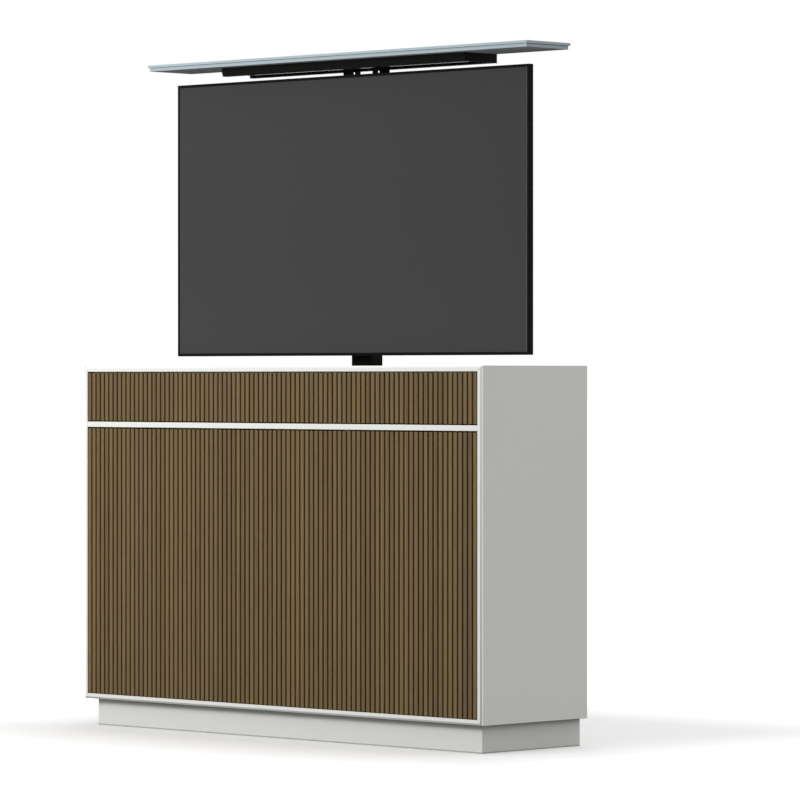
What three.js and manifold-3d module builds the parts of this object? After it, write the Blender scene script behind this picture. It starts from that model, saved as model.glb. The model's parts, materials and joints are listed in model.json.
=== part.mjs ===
// Cabinet with a television lift: a slatted drop flap over three slatted doors, and behind them a lift well
// from which a two-stage lift raises a flat television together with the lid over it.
// Millimetres, +Z up. X runs along the cabinet and Y from front to back. The origin lies on the floor under
// the middle of the cabinet. The model stands as photographed, with the television raised.

import * as THREE from "three";
import { ConvexGeometry } from "three/addons/geometries/ConvexGeometry.js";
import { mergeVertices } from "three/addons/utils/BufferGeometryUtils.js";
import Module from "manifold-3d";

const wasm = await Module();
wasm.setup();

// Clearances
const seat = 0.3; // between a piece and the one it was cut to fit
const overrun = 5; // how far a cutting shape runs past the face it opens
const roundSegments = 24;
const weld = 1e-4; // vertices closer than this are one

// Case. Its width and depth follow from the television and the lid, further down.
const caseHeight = 1000;
const board = 16;
const bevel = 6; // outer rim of the front
const plinthHeight = 80;
const plinthInset = 33; // back from the front
const plinthEndInset = 28.5; // in from both ends
const plinthBoard = 16;
const dividerBoard = 22;
const partitionDepth = 205; // from the front of the case to the partition
const topBesideLid = 39; // from an end of the lid to the end of the case
const topBehindLid = 28; // from the lid to the back of the case
const housing = 4; // how far a shelf sits in its grooves
const shelfBoard = 16;
const shelfSetback = 34; // from the front of the case to a shelf
const shelfHeight = 500; // top of the shelves over the floor
const flapBay = 150; // clear height behind the flap
const railHeight = 30; // stop rail under the front of the top
const backBoard = 8;
const backSetback = 4;
const accessHeight = 464; // removable lower part of the back
const ventCount = 14;
const ventWidth = 8;
const ventHeight = 90;
const ventPitch = 24;
const cableNotchWidth = 120;
const cableNotchHeight = 45;

// Slatted fronts
const slatCount = 85;
const doorSlats = [28, 29, 28];
const groove = 5.8;
const slatDepth = 8;
const slatBacking = 2; // layer that joins the slats
const frontBoard = 12; // board behind the slats
const doorGap = 3; // between two doors
const sideGap = 2; // between a front and the side of the case
const doorBottomGap = 2;
const doorTopGap = 4;
const flapBottomGap = 3.5;
const flapTopGap = 4;
const behindFronts = 2; // free space between the fronts and what stands behind them

// Hinges of the doors
const cupRadius = 17.5;
const cupDepth = 10.5;
const cupWall = 1.5;
const cupInset = 22.5; // centre of a cup from the edge of its door
const cupFromEnd = 95; // centre of a cup from the top or bottom of its door
const hingePlateThickness = 6;
const hingePlateLength = 50;
const hingePlateHeight = 46;
const hingeArmWidth = 18;
const hingeArmThickness = 9;
const hingeArmRun = 22; // length of arm in front of the plate

// Pivots of the flap
const flapPinRadius = 2.5;
const flapPinInset = 5; // from the front of the flap
const flapPinRise = 5.5; // from the bottom of the flap
const flapPinInSlat = 9;
const flapPinInSide = 9;

// Push latches
const plungerRadius = 2.5;
const plungerLength = 34;
const plungerTravel = 3;
const plungerTop = 560; // height of the upper door latch over the floor
const plungerStep = 60; // between the two latches of one divider
const plungerCollar = 2;
const plungerCollarRadius = 5;
const flapPlungerTail = 8; // length of the flap's plunger behind its collar

// Television
const tvWidth = 1460;
const tvHeight = 824;
const tvEdge = 18;
const bezel = 8;
const screenRecess = 0.8;
const screenThickness = 4;
const tvOverCase = 30.8; // bottom of the raised television over the case
const shellMargin = 14;
const shellSlope = 9;
const shellSlab = 8;
const shellDepth = 34.1;
const boxWidth = 860;
const boxHeight = 560;
const boxRise = 60; // from the bottom of the television to its electronics housing
const boxSlope = 26;

// Lid and its steel frame
const lidBesideTv = 57; // from an end of the television to the end of the lid
const lidBehindPartition = 4.5;
const lidDepth = 182.5;
const lidLip = 8;
const lidCore = 10.5;
const lidStep = 4.5; // how far the lip stands out past the core
const lidClearance = 2; // round the lid in the top panel
const frameWidth = 1010;
const frameBehindLid = 43; // from the front of the lid to the front of its frame
const frameOverTv = 16.2;
const frameBarHeight = 26;
const frameRearBarHeight = 8.5;
const frameLeftEndRise = 8; // from the bottom of the frame to its left end plate
const frameBarThickness = 20;
const frameEndThickness = 3;

// Lift
const mastWidth = 82;
const mastDepth = 46;
const mastWall = 2.5;
const mastLowered = 180; // bottom of the lowered mast over the floor
const mastUnderFrame = 15; // free space over the lowered mast
const columnGap = 2.5; // between the mast's inner face and the column
const columnWall = 3;
const columnUnderMast = 140; // from the top of the lowered mast to the top of the column
const columnSlot = 26;
const padHeight = 60;
const footWidth = 300;
const footDepth = 130;
const footThickness = 6;
const screwRadius = 7;
const screwUnderColumn = 20; // from the top of the column to the top of the screw
const screwGearRadius = 11;
const screwGearHeight = 14;
const screwGearRise = 24; // from the foot to the gear
const nutHeight = 40;
const nutRadius = 12;
const nutNeck = 20;
const channelWeb = 2.5;
const channelDepth = 51;
const channelFlange = 22;
const channelSpread = 52; // from the middle to the outer face of a web
const channelBottomOverCase = 170; // raised
const channelHoleRadius = 4;
const channelHolePitch = 20;
const channelHoleCount = 2;
const channelHoleDrop = 11; // from the lid to the highest hole
const glideHeight = 120;
const glideDepth = 34;
const glideDrop = 20; // from the top of the mast
const mountWidth = 440;
const mountHeight = 420;
const mountThickness = 3;
const mountRise = 130; // from the bottom of the television
const gearboxWidth = 96;
const gearboxDepth = 60;
const gearboxHeight = 62;
const motorRadius = 29;
const motorLength = 140;
const driveStubRadius = 9;
const controlWidth = 190;
const controlDepth = 70;
const controlHeight = 52;
const controlFromSide = 195;
const controlFromBack = 24;
const inletWidth = 28;
const inletHeight = 20;
const inletDepth = 16;
const inletFromEnd = 40;

// Places that follow from the sizes
const lidWidth = tvWidth + 2 * lidBesideTv;
const caseWidth = lidWidth + 2 * topBesideLid;
const caseDepth = partitionDepth + board + lidBehindPartition + lidDepth + topBehindLid;
const front = -caseDepth / 2;
const back = caseDepth / 2;
const halfWidth = caseWidth / 2;
const caseBottom = plinthHeight;
const caseTop = plinthHeight + caseHeight;
const innerHalf = halfWidth - board;
const innerBottom = caseBottom + board;
const innerTop = caseTop - board;
const midTop = innerTop - flapBay;
const midBottom = midTop - board;
const partitionFront = front + partitionDepth;
const partitionBack = partitionFront + board;
const slatPitch = (2 * innerHalf) / slatCount;
const frontThickness = slatDepth + slatBacking + frontBoard;
const frontsBack = front + frontThickness;
const innerFront = frontsBack + behindFronts;
const backFace = back - backSetback;
const backFront = backFace - backBoard;
const seams = [-innerHalf];
for (const count of doorSlats) seams.push(seams.at(-1) + count * slatPitch);
const lidOverCase = tvOverCase + tvHeight + frameOverTv + frameBarHeight + lidCore + lidLip;
const lidTop = caseTop + lidOverCase;
const lidUnder = lidTop - lidLip - lidCore;
const lidFront = partitionBack + lidBehindPartition;
const lidBack = lidFront + lidDepth;
const lidHalf = lidWidth / 2;
const travel = lidOverCase / 2; // of each stage of the lift
const mastBack = lidBack - lidStep;
const mastFront = mastBack - mastDepth;
const mastMiddle = (mastFront + mastBack) / 2;
const mastBottom = mastLowered + travel;
const loweredMastTop = caseTop - lidLip - lidCore - frameBarHeight - mastUnderFrame;
const mastTop = loweredMastTop + travel;
const columnTop = loweredMastTop - columnUnderMast;
const screwTop = columnTop - screwUnderColumn;
const footTop = innerBottom + footThickness;
const channelBack = mastBack;
const channelFront = channelBack - channelDepth;
const channelBottom = caseTop + channelBottomOverCase;
const mountBack = channelFront - seat;
const mountFront = mountBack - mountThickness;
const shellBack = mountFront - seat;
const tvBack = shellBack - shellDepth - seat;
const tvFront = tvBack - tvEdge;
const tvBottom = caseTop + tvOverCase;
const tvTop = tvBottom + tvHeight;

// Shape helpers. Each returns a closed BufferGeometry.

// A box between two places on each axis, given in either order.
function block(xs, ys, zs) {
  const low = new THREE.Vector3(Math.min(...xs), Math.min(...ys), Math.min(...zs));
  const high = new THREE.Vector3(Math.max(...xs), Math.max(...ys), Math.max(...zs));
  const size = high.clone().sub(low);
  const middle = high.add(low).divideScalar(2);
  return new THREE.BoxGeometry(size.x, size.y, size.z).translate(middle.x, middle.y, middle.z);
}

// An outline pushed along an axis. Its points are (y, z) along x, (x, z) along y and (x, y) along z.
function prism(axis, outline, from, to) {
  const shape = new THREE.Shape(outline.map(([a, b]) => new THREE.Vector2(a, b)));
  const depth = Math.abs(to - from);
  const made = new THREE.ExtrudeGeometry(shape, { depth, bevelEnabled: false });
  if (axis === "y") return made.rotateX(Math.PI / 2).translate(0, Math.max(from, to), 0);
  if (axis === "z") return made.translate(0, 0, Math.min(from, to));
  const turn = new THREE.Matrix4().makeBasis(
    new THREE.Vector3(0, 1, 0),
    new THREE.Vector3(0, 0, 1),
    new THREE.Vector3(1, 0, 0),
  );
  return made.applyMatrix4(turn).translate(Math.min(from, to), 0, 0);
}

// A round bar along an axis, whose centre is given by the two other coordinates in their order.
function rod(axis, [a, b], radius, from, to) {
  const made = new THREE.CylinderGeometry(radius, radius, Math.abs(to - from), roundSegments);
  const middle = (from + to) / 2;
  if (axis === "x") return made.rotateZ(Math.PI / 2).translate(middle, a, b);
  if (axis === "y") return made.translate(a, middle, b);
  return made.rotateX(Math.PI / 2).translate(a, b, middle);
}

// A slab whose face shrinks along y, from one rectangle to a smaller one.
function frustum(half, zs, ys, slope) {
  const points = [];
  for (const x of [-half, half]) {
    for (const z of zs) {
      const inward = z === Math.min(...zs) ? slope : -slope;
      points.push(new THREE.Vector3(x, ys[0], z));
      points.push(new THREE.Vector3(x - Math.sign(x) * slope, ys[1], z + inward));
    }
  }
  return new ConvexGeometry(points);
}

// Boolean helpers

function solid(geometry) {
  const bare = new THREE.BufferGeometry();
  bare.setAttribute("position", geometry.getAttribute("position"));
  if (geometry.index) bare.setIndex(geometry.index);
  const merged = mergeVertices(bare, weld);
  return new wasm.Manifold(
    new wasm.Mesh({
      numProp: 3,
      vertProperties: merged.attributes.position.array,
      triVerts: new Uint32Array(merged.index.array),
    }),
  );
}

function geometryOf(made) {
  const mesh = made.getMesh();
  return new THREE.BufferGeometry()
    .setAttribute("position", new THREE.BufferAttribute(mesh.vertProperties, 3))
    .setIndex(new THREE.BufferAttribute(mesh.triVerts, 1));
}

const joined = (...parts) => geometryOf(parts.map(solid).reduce((all, next) => all.add(next)));
const cut = (part, ...tools) =>
  geometryOf(tools.map(solid).reduce((rest, tool) => rest.subtract(tool), solid(part)));
const common = (part, other) => geometryOf(solid(part).intersect(solid(other)));

// Materials

const finish = (color, roughness, metalness = 0) =>
  new THREE.MeshStandardMaterial({ color, roughness, metalness, flatShading: true });
const white = finish(0xe8e9e4, 0.6);
const walnut = finish(0x6b5b43, 0.55);
const walnutBoard = finish(0x5a4a36, 0.6);
const blackSteel = finish(0x171715, 0.45, 0.4);
const brightSteel = finish(0xb4b6b8, 0.3, 0.9);
const blackPlastic = finish(0x181818, 0.5);
const screenGlass = finish(0x424242, 0.25);
const greyPlastic = finish(0x6a6c6e, 0.5);
const lidWhite = finish(0xd6dade, 0.55);

const cabinet = new THREE.Group();
cabinet.name = "tv_lift_cabinet";

function add(name, geometry, material, parent = cabinet) {
  const mesh = new THREE.Mesh(geometry, material);
  mesh.name = name;
  parent.add(mesh);
  return mesh;
}

const sides = [
  ["left", -1],
  ["right", 1],
];

// Carcass: four mitred boards whose outer front rim is bevelled

const envelope = (() => {
  const points = [];
  for (const x of [-halfWidth, halfWidth]) {
    for (const [z, up] of [
      [caseBottom, 1],
      [caseTop, -1],
    ]) {
      points.push(new THREE.Vector3(x - Math.sign(x) * bevel, front, z + up * bevel));
      points.push(new THREE.Vector3(x, front + bevel, z));
      points.push(new THREE.Vector3(x, back, z));
    }
  }
  return new ConvexGeometry(points);
})();

// Each mitre keeps half of the seat on its own side.
const mitre = seat / 2;

function sidePanel(way) {
  const outline = [
    [way * halfWidth, caseBottom + mitre],
    [way * innerHalf, innerBottom + mitre],
    [way * innerHalf, innerTop - mitre],
    [way * halfWidth, caseTop - mitre],
  ];
  const shelfGroove = block(
    [way * (innerHalf - overrun), way * (innerHalf + housing + seat)],
    [front + shelfSetback - seat, partitionFront],
    [shelfHeight - shelfBoard - seat, shelfHeight + seat],
  );
  const pinBore = rod(
    "x",
    [front + flapPinInset, midTop + flapBottomGap + flapPinRise],
    flapPinRadius + seat,
    way * (innerHalf - overrun),
    way * (innerHalf + flapPinInSide + seat),
  );
  return cut(common(prism("y", outline, front, back), envelope), shelfGroove, pinBore);
}

for (const [name, way] of sides) add(`side_${name}`, sidePanel(way), white);

// The lid's opening: a rebate for its lip and, inside that, the way through for its core.
function lidOpening() {
  const lipHalf = lidHalf + lidClearance;
  const coreHalf = lipHalf - lidStep;
  const rebate = block(
    [-lipHalf, lipHalf],
    [lidFront - lidClearance, lidBack + lidClearance],
    [caseTop - lidLip - seat, caseTop + overrun],
  );
  const through = block(
    [-coreHalf, coreHalf],
    [lidFront - lidClearance + lidStep, lidBack + lidClearance - lidStep],
    [innerTop - overrun, caseTop + overrun],
  );
  return [rebate, through];
}

const topOutline = [
  [-halfWidth + mitre, caseTop],
  [-innerHalf + mitre, innerTop],
  [innerHalf - mitre, innerTop],
  [halfWidth - mitre, caseTop],
];
const bottomOutline = [
  [-halfWidth + mitre, caseBottom],
  [-innerHalf + mitre, innerBottom],
  [innerHalf - mitre, innerBottom],
  [halfWidth - mitre, caseBottom],
];
add("top_panel", cut(common(prism("y", topOutline, front, back), envelope), ...lidOpening()), white);
add("bottom_panel", common(prism("y", bottomOutline, front, back), envelope), white);

// Inner boards

const innerX = [-innerHalf, innerHalf];
const partitionY = [partitionFront, partitionBack];
add("mid_shelf", block(innerX, [front, partitionFront], [midBottom, midTop]), white);
add("partition_board", block(innerX, partitionY, [innerBottom, innerTop]), white);

// Places of the door latches: one in the left divider, two in the right one at different heights.
const latchInset = (dividerBoard / 2 + doorGap / 2) / 2; // from a seam to the middle of what a door covers
const doorLatches = [
  ["left", seams[1] - latchInset, plungerTop],
  ["centre", seams[2] - latchInset, plungerTop],
  ["right", seams[2] + latchInset, plungerTop + plungerStep],
];
const plungerTip = frontsBack + seat;
const plungerEnd = plungerTip + plungerLength;
const plungerStop = plungerEnd + plungerTravel + seat;

function divider(seam) {
  const faces = [seam - dividerBoard / 2, seam + dividerBoard / 2];
  const shelfGrooves = faces.map((face) =>
    block(
      [face - Math.sign(seam - face) * overrun, face + Math.sign(seam - face) * (housing + seat)],
      [front + shelfSetback - seat, partitionFront + overrun],
      [shelfHeight - shelfBoard - seat, shelfHeight + seat],
    ),
  );
  const bores = doorLatches
    .filter(([, x]) => Math.abs(x - seam) < dividerBoard)
    .map(([, x, z]) => rod("y", [x, z], plungerRadius + seat, innerFront - overrun, plungerStop));
  return cut(block(faces, [innerFront, partitionFront], [innerBottom, midBottom]), ...shelfGrooves, ...bores);
}

add("divider_left", divider(seams[1]), white);
add("divider_right", divider(seams[2]), white);

// Each shelf reaches into the grooves of the two boards beside it.
const bays = [
  ["left", -innerHalf, seams[1] - dividerBoard / 2],
  ["centre", seams[1] + dividerBoard / 2, seams[2] - dividerBoard / 2],
  ["right", seams[2] + dividerBoard / 2, innerHalf],
];
for (const [name, from, to] of bays) {
  const length = [from - housing, to + housing];
  const depth = [front + shelfSetback, partitionFront - seat];
  add(`shelf_${name}`, block(length, depth, [shelfHeight - shelfBoard, shelfHeight]), white);
}

// Stop rail behind the top of the flap, bored for the flap's latch
const flapLatchHeight = innerTop - railHeight / 2;
const railBack = innerFront + board;
const stopRail = block(innerX, [innerFront, railBack], [innerTop - railHeight, innerTop]);
const railBoreRadius = plungerRadius + seat;
const railBore = rod("y", [0, flapLatchHeight], railBoreRadius, innerFront - overrun, railBack + overrun);
add("stop_rail", cut(stopRail, railBore), white);

// Plinth: four boards set back at the front and both ends, and flush at the back
const plinthHalf = halfWidth - plinthEndInset;
const plinthInner = plinthHalf - plinthBoard;
const plinthFront = front + plinthInset;
const plinthZ = [0, caseBottom];
const plinthFrontY = [plinthFront, plinthFront + plinthBoard];
add("plinth_front", block([-plinthHalf, plinthHalf], plinthFrontY, plinthZ), white);
add("plinth_back", block([-plinthInner, plinthInner], [back - plinthBoard, back], plinthZ), white);
for (const [name, way] of sides) {
  const length = [plinthFront + plinthBoard, back];
  add(`plinth_${name}`, block([way * plinthInner, way * plinthHalf], length, plinthZ), white);
}

// Back: a fixed upper part with vents and a lower part that comes off, with vents and a way for cables
function vents(middle) {
  const first = (-(ventCount - 1) * ventPitch) / 2;
  return Array.from({ length: ventCount }, (_, i) => {
    const x = first + i * ventPitch;
    const z = [middle - ventHeight / 2, middle + ventHeight / 2];
    return block([x - ventWidth / 2, x + ventWidth / 2], [backFront - overrun, backFace + overrun], z);
  });
}

const accessTop = innerBottom + accessHeight;
const backY = [backFront, backFace];
const upperBack = block(innerX, backY, [accessTop + seat, innerTop]);
const lowerBack = block(innerX, backY, [innerBottom, accessTop]);
const cableNotch = block(
  [-cableNotchWidth / 2, cableNotchWidth / 2],
  [backFront - overrun, backFace + overrun],
  [innerBottom - overrun, innerBottom + cableNotchHeight],
);
add("back_panel", cut(upperBack, ...vents((accessTop + innerTop) / 2)), white);
add("back_access_panel", cut(lowerBack, cableNotch, ...vents((innerBottom + accessTop) / 2)), white);

// Slatted fronts: upright slats on a thin backing, in front of a board

// The comb of slats from one slat line to another, as an outline in x and y.
function slatOutline(firstSlat, count, low, high) {
  const layer = front + slatDepth;
  const points = [
    [high, layer + slatBacking],
    [low, layer + slatBacking],
    [low, layer],
  ];
  for (let i = firstSlat; i < firstSlat + count; i++) {
    const from = -innerHalf + i * slatPitch + groove / 2;
    const to = from + slatPitch - groove;
    points.push([from, layer], [from, front], [to, front], [to, layer]);
  }
  points.push([high, layer]);
  return points;
}

function slats(firstSlat, count, low, high, zs) {
  return prism("z", slatOutline(firstSlat, count, low, high), zs[0], zs[1]);
}

const boardY = [front + slatDepth + slatBacking, frontsBack];

// The flap drops forward on two pins near its bottom front edge.
const flapHalf = innerHalf - sideGap;
const flapZ = [midTop + flapBottomGap, innerTop - flapTopGap];
const flapPin = [front + flapPinInset, flapZ[0] + flapPinRise];
const flapSlatEnd = innerHalf - groove / 2;
const flapPinEnd = flapSlatEnd - flapPinInSlat;
const flapBores = sides.map(([, way]) =>
  rod("x", flapPin, flapPinRadius + seat, way * (flapPinEnd - seat), way * (flapSlatEnd + overrun)),
);
const flap = new THREE.Group();
cabinet.add(flap);
add("flap_board", block([-flapHalf, flapHalf], boardY, flapZ), walnutBoard, flap);
add("flap_slats", cut(slats(0, slatCount, -flapHalf, flapHalf, flapZ), ...flapBores), walnut, flap);
for (const [name, way] of sides) {
  const pin = rod("x", flapPin, flapPinRadius, way * flapPinEnd, way * (innerHalf + flapPinInSide));
  add(`flap_pivot_${name}`, pin, brightSteel);
}

// Doors: the left and the middle one hang on their left edge, the right one on its right edge.
const doorZ = [innerBottom + doorBottomGap, midBottom - doorTopGap];
const doors = [
  {
    name: "left",
    first: 0,
    low: seams[0] + sideGap,
    high: seams[1] - doorGap / 2,
    way: -1,
    carrier: -innerHalf,
  },
  {
    name: "centre",
    first: doorSlats[0],
    low: seams[1] + doorGap / 2,
    high: seams[2] - doorGap / 2,
    way: -1,
    carrier: seams[1] + dividerBoard / 2,
  },
  {
    name: "right",
    first: doorSlats[0] + doorSlats[1],
    low: seams[2] + doorGap / 2,
    high: seams[3] - sideGap,
    way: 1,
    carrier: innerHalf,
  },
];
const cupHeights = [
  ["lower", doorZ[0] + cupFromEnd],
  ["upper", doorZ[1] - cupFromEnd],
];

// A cup is a round dish let into the back of the door, open to the back.
function hingeCup(x, z) {
  const floor = frontsBack - cupDepth;
  const dish = rod("y", [x, z], cupRadius, floor, frontsBack);
  return cut(dish, rod("y", [x, z], cupRadius - cupWall, floor + cupWall, frontsBack + overrun));
}

// An arm screwed to a board by its plate, with its nose over the mouth of the cup.
function hingeArm(carrier, cupX, z) {
  const inward = Math.sign(cupX - carrier);
  const noseFront = frontsBack + behindFronts;
  const plateFront = noseFront + hingeArmRun;
  const plateX = [carrier, carrier + inward * hingePlateThickness];
  const armX = [carrier, carrier + inward * (hingePlateThickness + hingeArmThickness)];
  const plateY = [plateFront, plateFront + hingePlateLength];
  const plateZ = [z - hingePlateHeight / 2, z + hingePlateHeight / 2];
  const armZ = [z - hingeArmWidth / 2, z + hingeArmWidth / 2];
  const plate = block(plateX, plateY, plateZ);
  const arm = block(armX, [noseFront, plateY[1] - hingeArmThickness], armZ);
  const noseX = [carrier + inward * hingePlateThickness, cupX];
  const nose = block(noseX, [noseFront, noseFront + hingeArmThickness], armZ);
  const relief = block(
    [carrier - inward * overrun, carrier + inward * hingePlateThickness],
    [noseFront - overrun, plateFront],
    armZ,
  );
  return cut(joined(plate, arm, nose), relief);
}

for (const door of doors) {
  const leaf = new THREE.Group();
  cabinet.add(leaf);
  const count = doorSlats[doors.indexOf(door)];
  const edge = door.way < 0 ? door.low : door.high;
  const cupX = edge - door.way * cupInset;
  const bores = cupHeights.map(([, z]) =>
    rod("y", [cupX, z], cupRadius + seat, frontsBack - cupDepth - seat, frontsBack + overrun),
  );
  const leafX = [door.low, door.high];
  add(`door_${door.name}_board`, cut(block(leafX, boardY, doorZ), ...bores), walnutBoard, leaf);
  add(`door_${door.name}_slats`, slats(door.first, count, door.low, door.high, doorZ), walnut, leaf);
  for (const [level, z] of cupHeights) {
    add(`hinge_cup_${door.name}_${level}`, hingeCup(cupX, z), brightSteel, leaf);
    add(`hinge_arm_${door.name}_${level}`, hingeArm(door.carrier, cupX, z), brightSteel);
  }
}

// Latch plungers, which give when a closed front is pushed
for (const [name, x, z] of doorLatches) {
  add(`latch_plunger_${name}`, rod("y", [x, z], plungerRadius, plungerTip, plungerEnd), greyPlastic);
}
const collarFront = railBack + seat;
const flapPlungerEnd = collarFront + plungerCollar + flapPlungerTail;
const flapPlunger = joined(
  rod("y", [0, flapLatchHeight], plungerRadius, plungerTip, flapPlungerEnd),
  rod("y", [0, flapLatchHeight], plungerCollarRadius, collarFront, collarFront + plungerCollar),
);
add("latch_plunger_flap", flapPlunger, greyPlastic);

// Lift: a fixed open column on a foot, a mast that slides over it, and a carriage that slides on the mast

const columnHalf = mastWidth / 2 - mastWall - columnGap;
const columnFront = mastFront + mastWall + columnGap;
const columnBack = mastBack - mastWall - columnGap;
const columnInnerHalf = columnHalf - columnWall;

// Guide pads close the gap between the column's top and the mast.
function baseColumn() {
  const outline = [
    [-columnHalf, columnFront],
    [-columnSlot / 2, columnFront],
    [-columnSlot / 2, columnFront + columnWall],
    [-columnInnerHalf, columnFront + columnWall],
    [-columnInnerHalf, columnBack - columnWall],
    [columnInnerHalf, columnBack - columnWall],
    [columnInnerHalf, columnFront + columnWall],
    [columnSlot / 2, columnFront + columnWall],
    [columnSlot / 2, columnFront],
    [columnHalf, columnFront],
    [columnHalf, columnBack],
    [-columnHalf, columnBack],
  ];
  const padReach = columnGap - seat;
  const padZ = [columnTop - padHeight, columnTop];
  const padY = [columnFront + columnWall, columnBack - columnWall];
  const footX = [-footWidth / 2, footWidth / 2];
  const foot = block(footX, [columnBack - footDepth, columnBack], [innerBottom, footTop]);
  const pads = sides.map(([, way]) =>
    block([way * (columnHalf - columnWall), way * (columnHalf + padReach)], padY, padZ),
  );
  const padX = [-columnInnerHalf, columnInnerHalf];
  const rearPad = block(padX, [columnBack - columnWall, columnBack + padReach], padZ);
  return joined(prism("z", outline, innerBottom, columnTop), foot, ...pads, rearPad);
}

add("base_column", baseColumn(), blackSteel);

const screwBottom = footTop + seat;
const gearZ = [footTop + screwGearRise, footTop + screwGearRise + screwGearHeight];
const screw = joined(
  rod("z", [0, mastMiddle], screwRadius, screwBottom, screwTop),
  rod("z", [0, mastMiddle], screwGearRadius, gearZ[0], gearZ[1]),
);
add("drive_screw", screw, brightSteel);

// The gearbox stands on the foot before the column, its stub reaching through the column's slot.
const gearboxBack = columnFront - seat;
const gearboxBottom = footTop;
const gearboxY = [gearboxBack - gearboxDepth, gearboxBack];
const motorMiddle = [gearboxBack - gearboxDepth / 2, gearboxBottom + motorRadius + seat];
const stubEnd = mastMiddle - screwGearRadius - seat;
const gearbox = joined(
  block([-gearboxWidth / 2, gearboxWidth / 2], gearboxY, [gearboxBottom, gearboxBottom + gearboxHeight]),
  rod("x", motorMiddle, motorRadius, 0, gearboxWidth / 2 + motorLength),
  rod("y", [0, (gearZ[0] + gearZ[1]) / 2], driveStubRadius, gearboxY[0] + overrun, stubEnd),
);
add("motor_gearbox", gearbox, blackPlastic);

// Mast: a tube closed by a cap, glides outside its top, and the lifting nut on a neck inside its bottom
function mastTube() {
  const half = mastWidth / 2;
  const bore = block(
    [-half + mastWall, half - mastWall],
    [mastFront + mastWall, mastBack - mastWall],
    [mastBottom - overrun, mastTop - mastWall],
  );
  const tube = cut(block([-half, half], [mastFront, mastBack], [mastBottom, mastTop]), bore);
  const glideReach = channelSpread - channelWeb - seat;
  const glideY = [mastMiddle - glideDepth / 2, mastMiddle + glideDepth / 2];
  const glideZ = [mastTop - glideDrop - glideHeight, mastTop - glideDrop];
  const glides = sides.map(([, way]) => block([way * (half - mastWall), way * glideReach], glideY, glideZ));
  const nutZ = [mastBottom, mastBottom + nutHeight];
  const neck = block([-nutNeck / 2, nutNeck / 2], [mastFront, mastMiddle], nutZ);
  const nut = rod("z", [0, mastMiddle], nutRadius, nutZ[0], nutZ[1]);
  const thread = rod("z", [0, mastMiddle], screwRadius + seat, nutZ[0] - overrun, nutZ[1] + overrun);
  return cut(joined(tube, ...glides, neck, nut), thread);
}

const mast = new THREE.Group();
cabinet.add(mast);
add("mast", mastTube(), blackSteel, mast);

// Carriage: two channels back to back beside the mast, which carry the television and the lid
const carriage = new THREE.Group();
mast.add(carriage);

function channel(way) {
  const web = way * channelSpread;
  const inside = way * (channelSpread - channelWeb);
  const tip = way * (channelSpread - channelWeb + channelFlange);
  const outline = [
    [inside, channelFront],
    [tip, channelFront],
    [tip, channelFront + channelWeb],
    [web, channelFront + channelWeb],
    [web, channelBack - channelWeb],
    [tip, channelBack - channelWeb],
    [tip, channelBack],
    [inside, channelBack],
  ];
  const holes = Array.from({ length: channelHoleCount }, (_, i) =>
    rod(
      "x",
      [(channelFront + channelBack) / 2, lidUnder - channelHoleDrop - i * channelHolePitch],
      channelHoleRadius,
      inside - way * overrun,
      web + way * overrun,
    ),
  );
  return cut(prism("z", outline, channelBottom, lidUnder), ...holes);
}

for (const [name, way] of sides) add(`channel_${name}`, channel(way), blackSteel, carriage);

const mountX = [-mountWidth / 2, mountWidth / 2];
const mountZ = [tvBottom + mountRise, tvBottom + mountRise + mountHeight];
add("tv_mount_plate", block(mountX, [mountFront, mountBack], mountZ), blackSteel, carriage);

// Lid frame: bars round the channels, under the lid
const frameHalf = frameWidth / 2;
const frameFront = lidFront + frameBehindLid;
const frameBottom = lidUnder - frameBarHeight;
const frameRearY = [channelBack - frameBarThickness, channelBack];
const frameRearZ = [frameBottom, frameBottom + frameRearBarHeight];
const frameInner = frameHalf - frameEndThickness;
const frontBar = block(
  [-frameInner, frameInner],
  [frameFront, frameFront + frameBarThickness],
  [frameBottom, lidUnder],
);
const channelEnd = channelSpread - channelWeb + channelFlange;
add("lid_frame_front", frontBar, blackSteel, carriage);

// An end plate with a low bar welded to it, which runs behind to the channel. The left plate ends higher.
function frameCorner(way) {
  const endX = [way * frameInner, way * frameHalf];
  const endBottom = way < 0 ? frameBottom + frameLeftEndRise : frameBottom;
  const endPlate = block(endX, [frameFront, channelBack], [endBottom, lidUnder]);
  const rearX = [way * (channelEnd + seat), way * (frameInner + frameEndThickness / 2)];
  return joined(endPlate, block(rearX, frameRearY, frameRearZ));
}

for (const [name, way] of sides) add(`lid_frame_${name}`, frameCorner(way), blackSteel, carriage);

// The rear bar goes on between the two channels.
const bridgeHalf = channelSpread - channelWeb - seat;
add("lid_frame_bridge", block([-bridgeHalf, bridgeHalf], frameRearY, frameRearZ), blackSteel, carriage);

// Lid: a core that drops into the opening and a lip that rests on its rebate
const lidCoreX = [-lidHalf + lidStep, lidHalf - lidStep];
const lid = joined(
  block([-lidHalf, lidHalf], [lidFront, lidBack], [lidTop - lidLip, lidTop]),
  block(lidCoreX, [lidFront + lidStep, lidBack - lidStep], [lidUnder, lidTop - lidLip]),
);
add("lid_board", lid, lidWhite, carriage);

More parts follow.
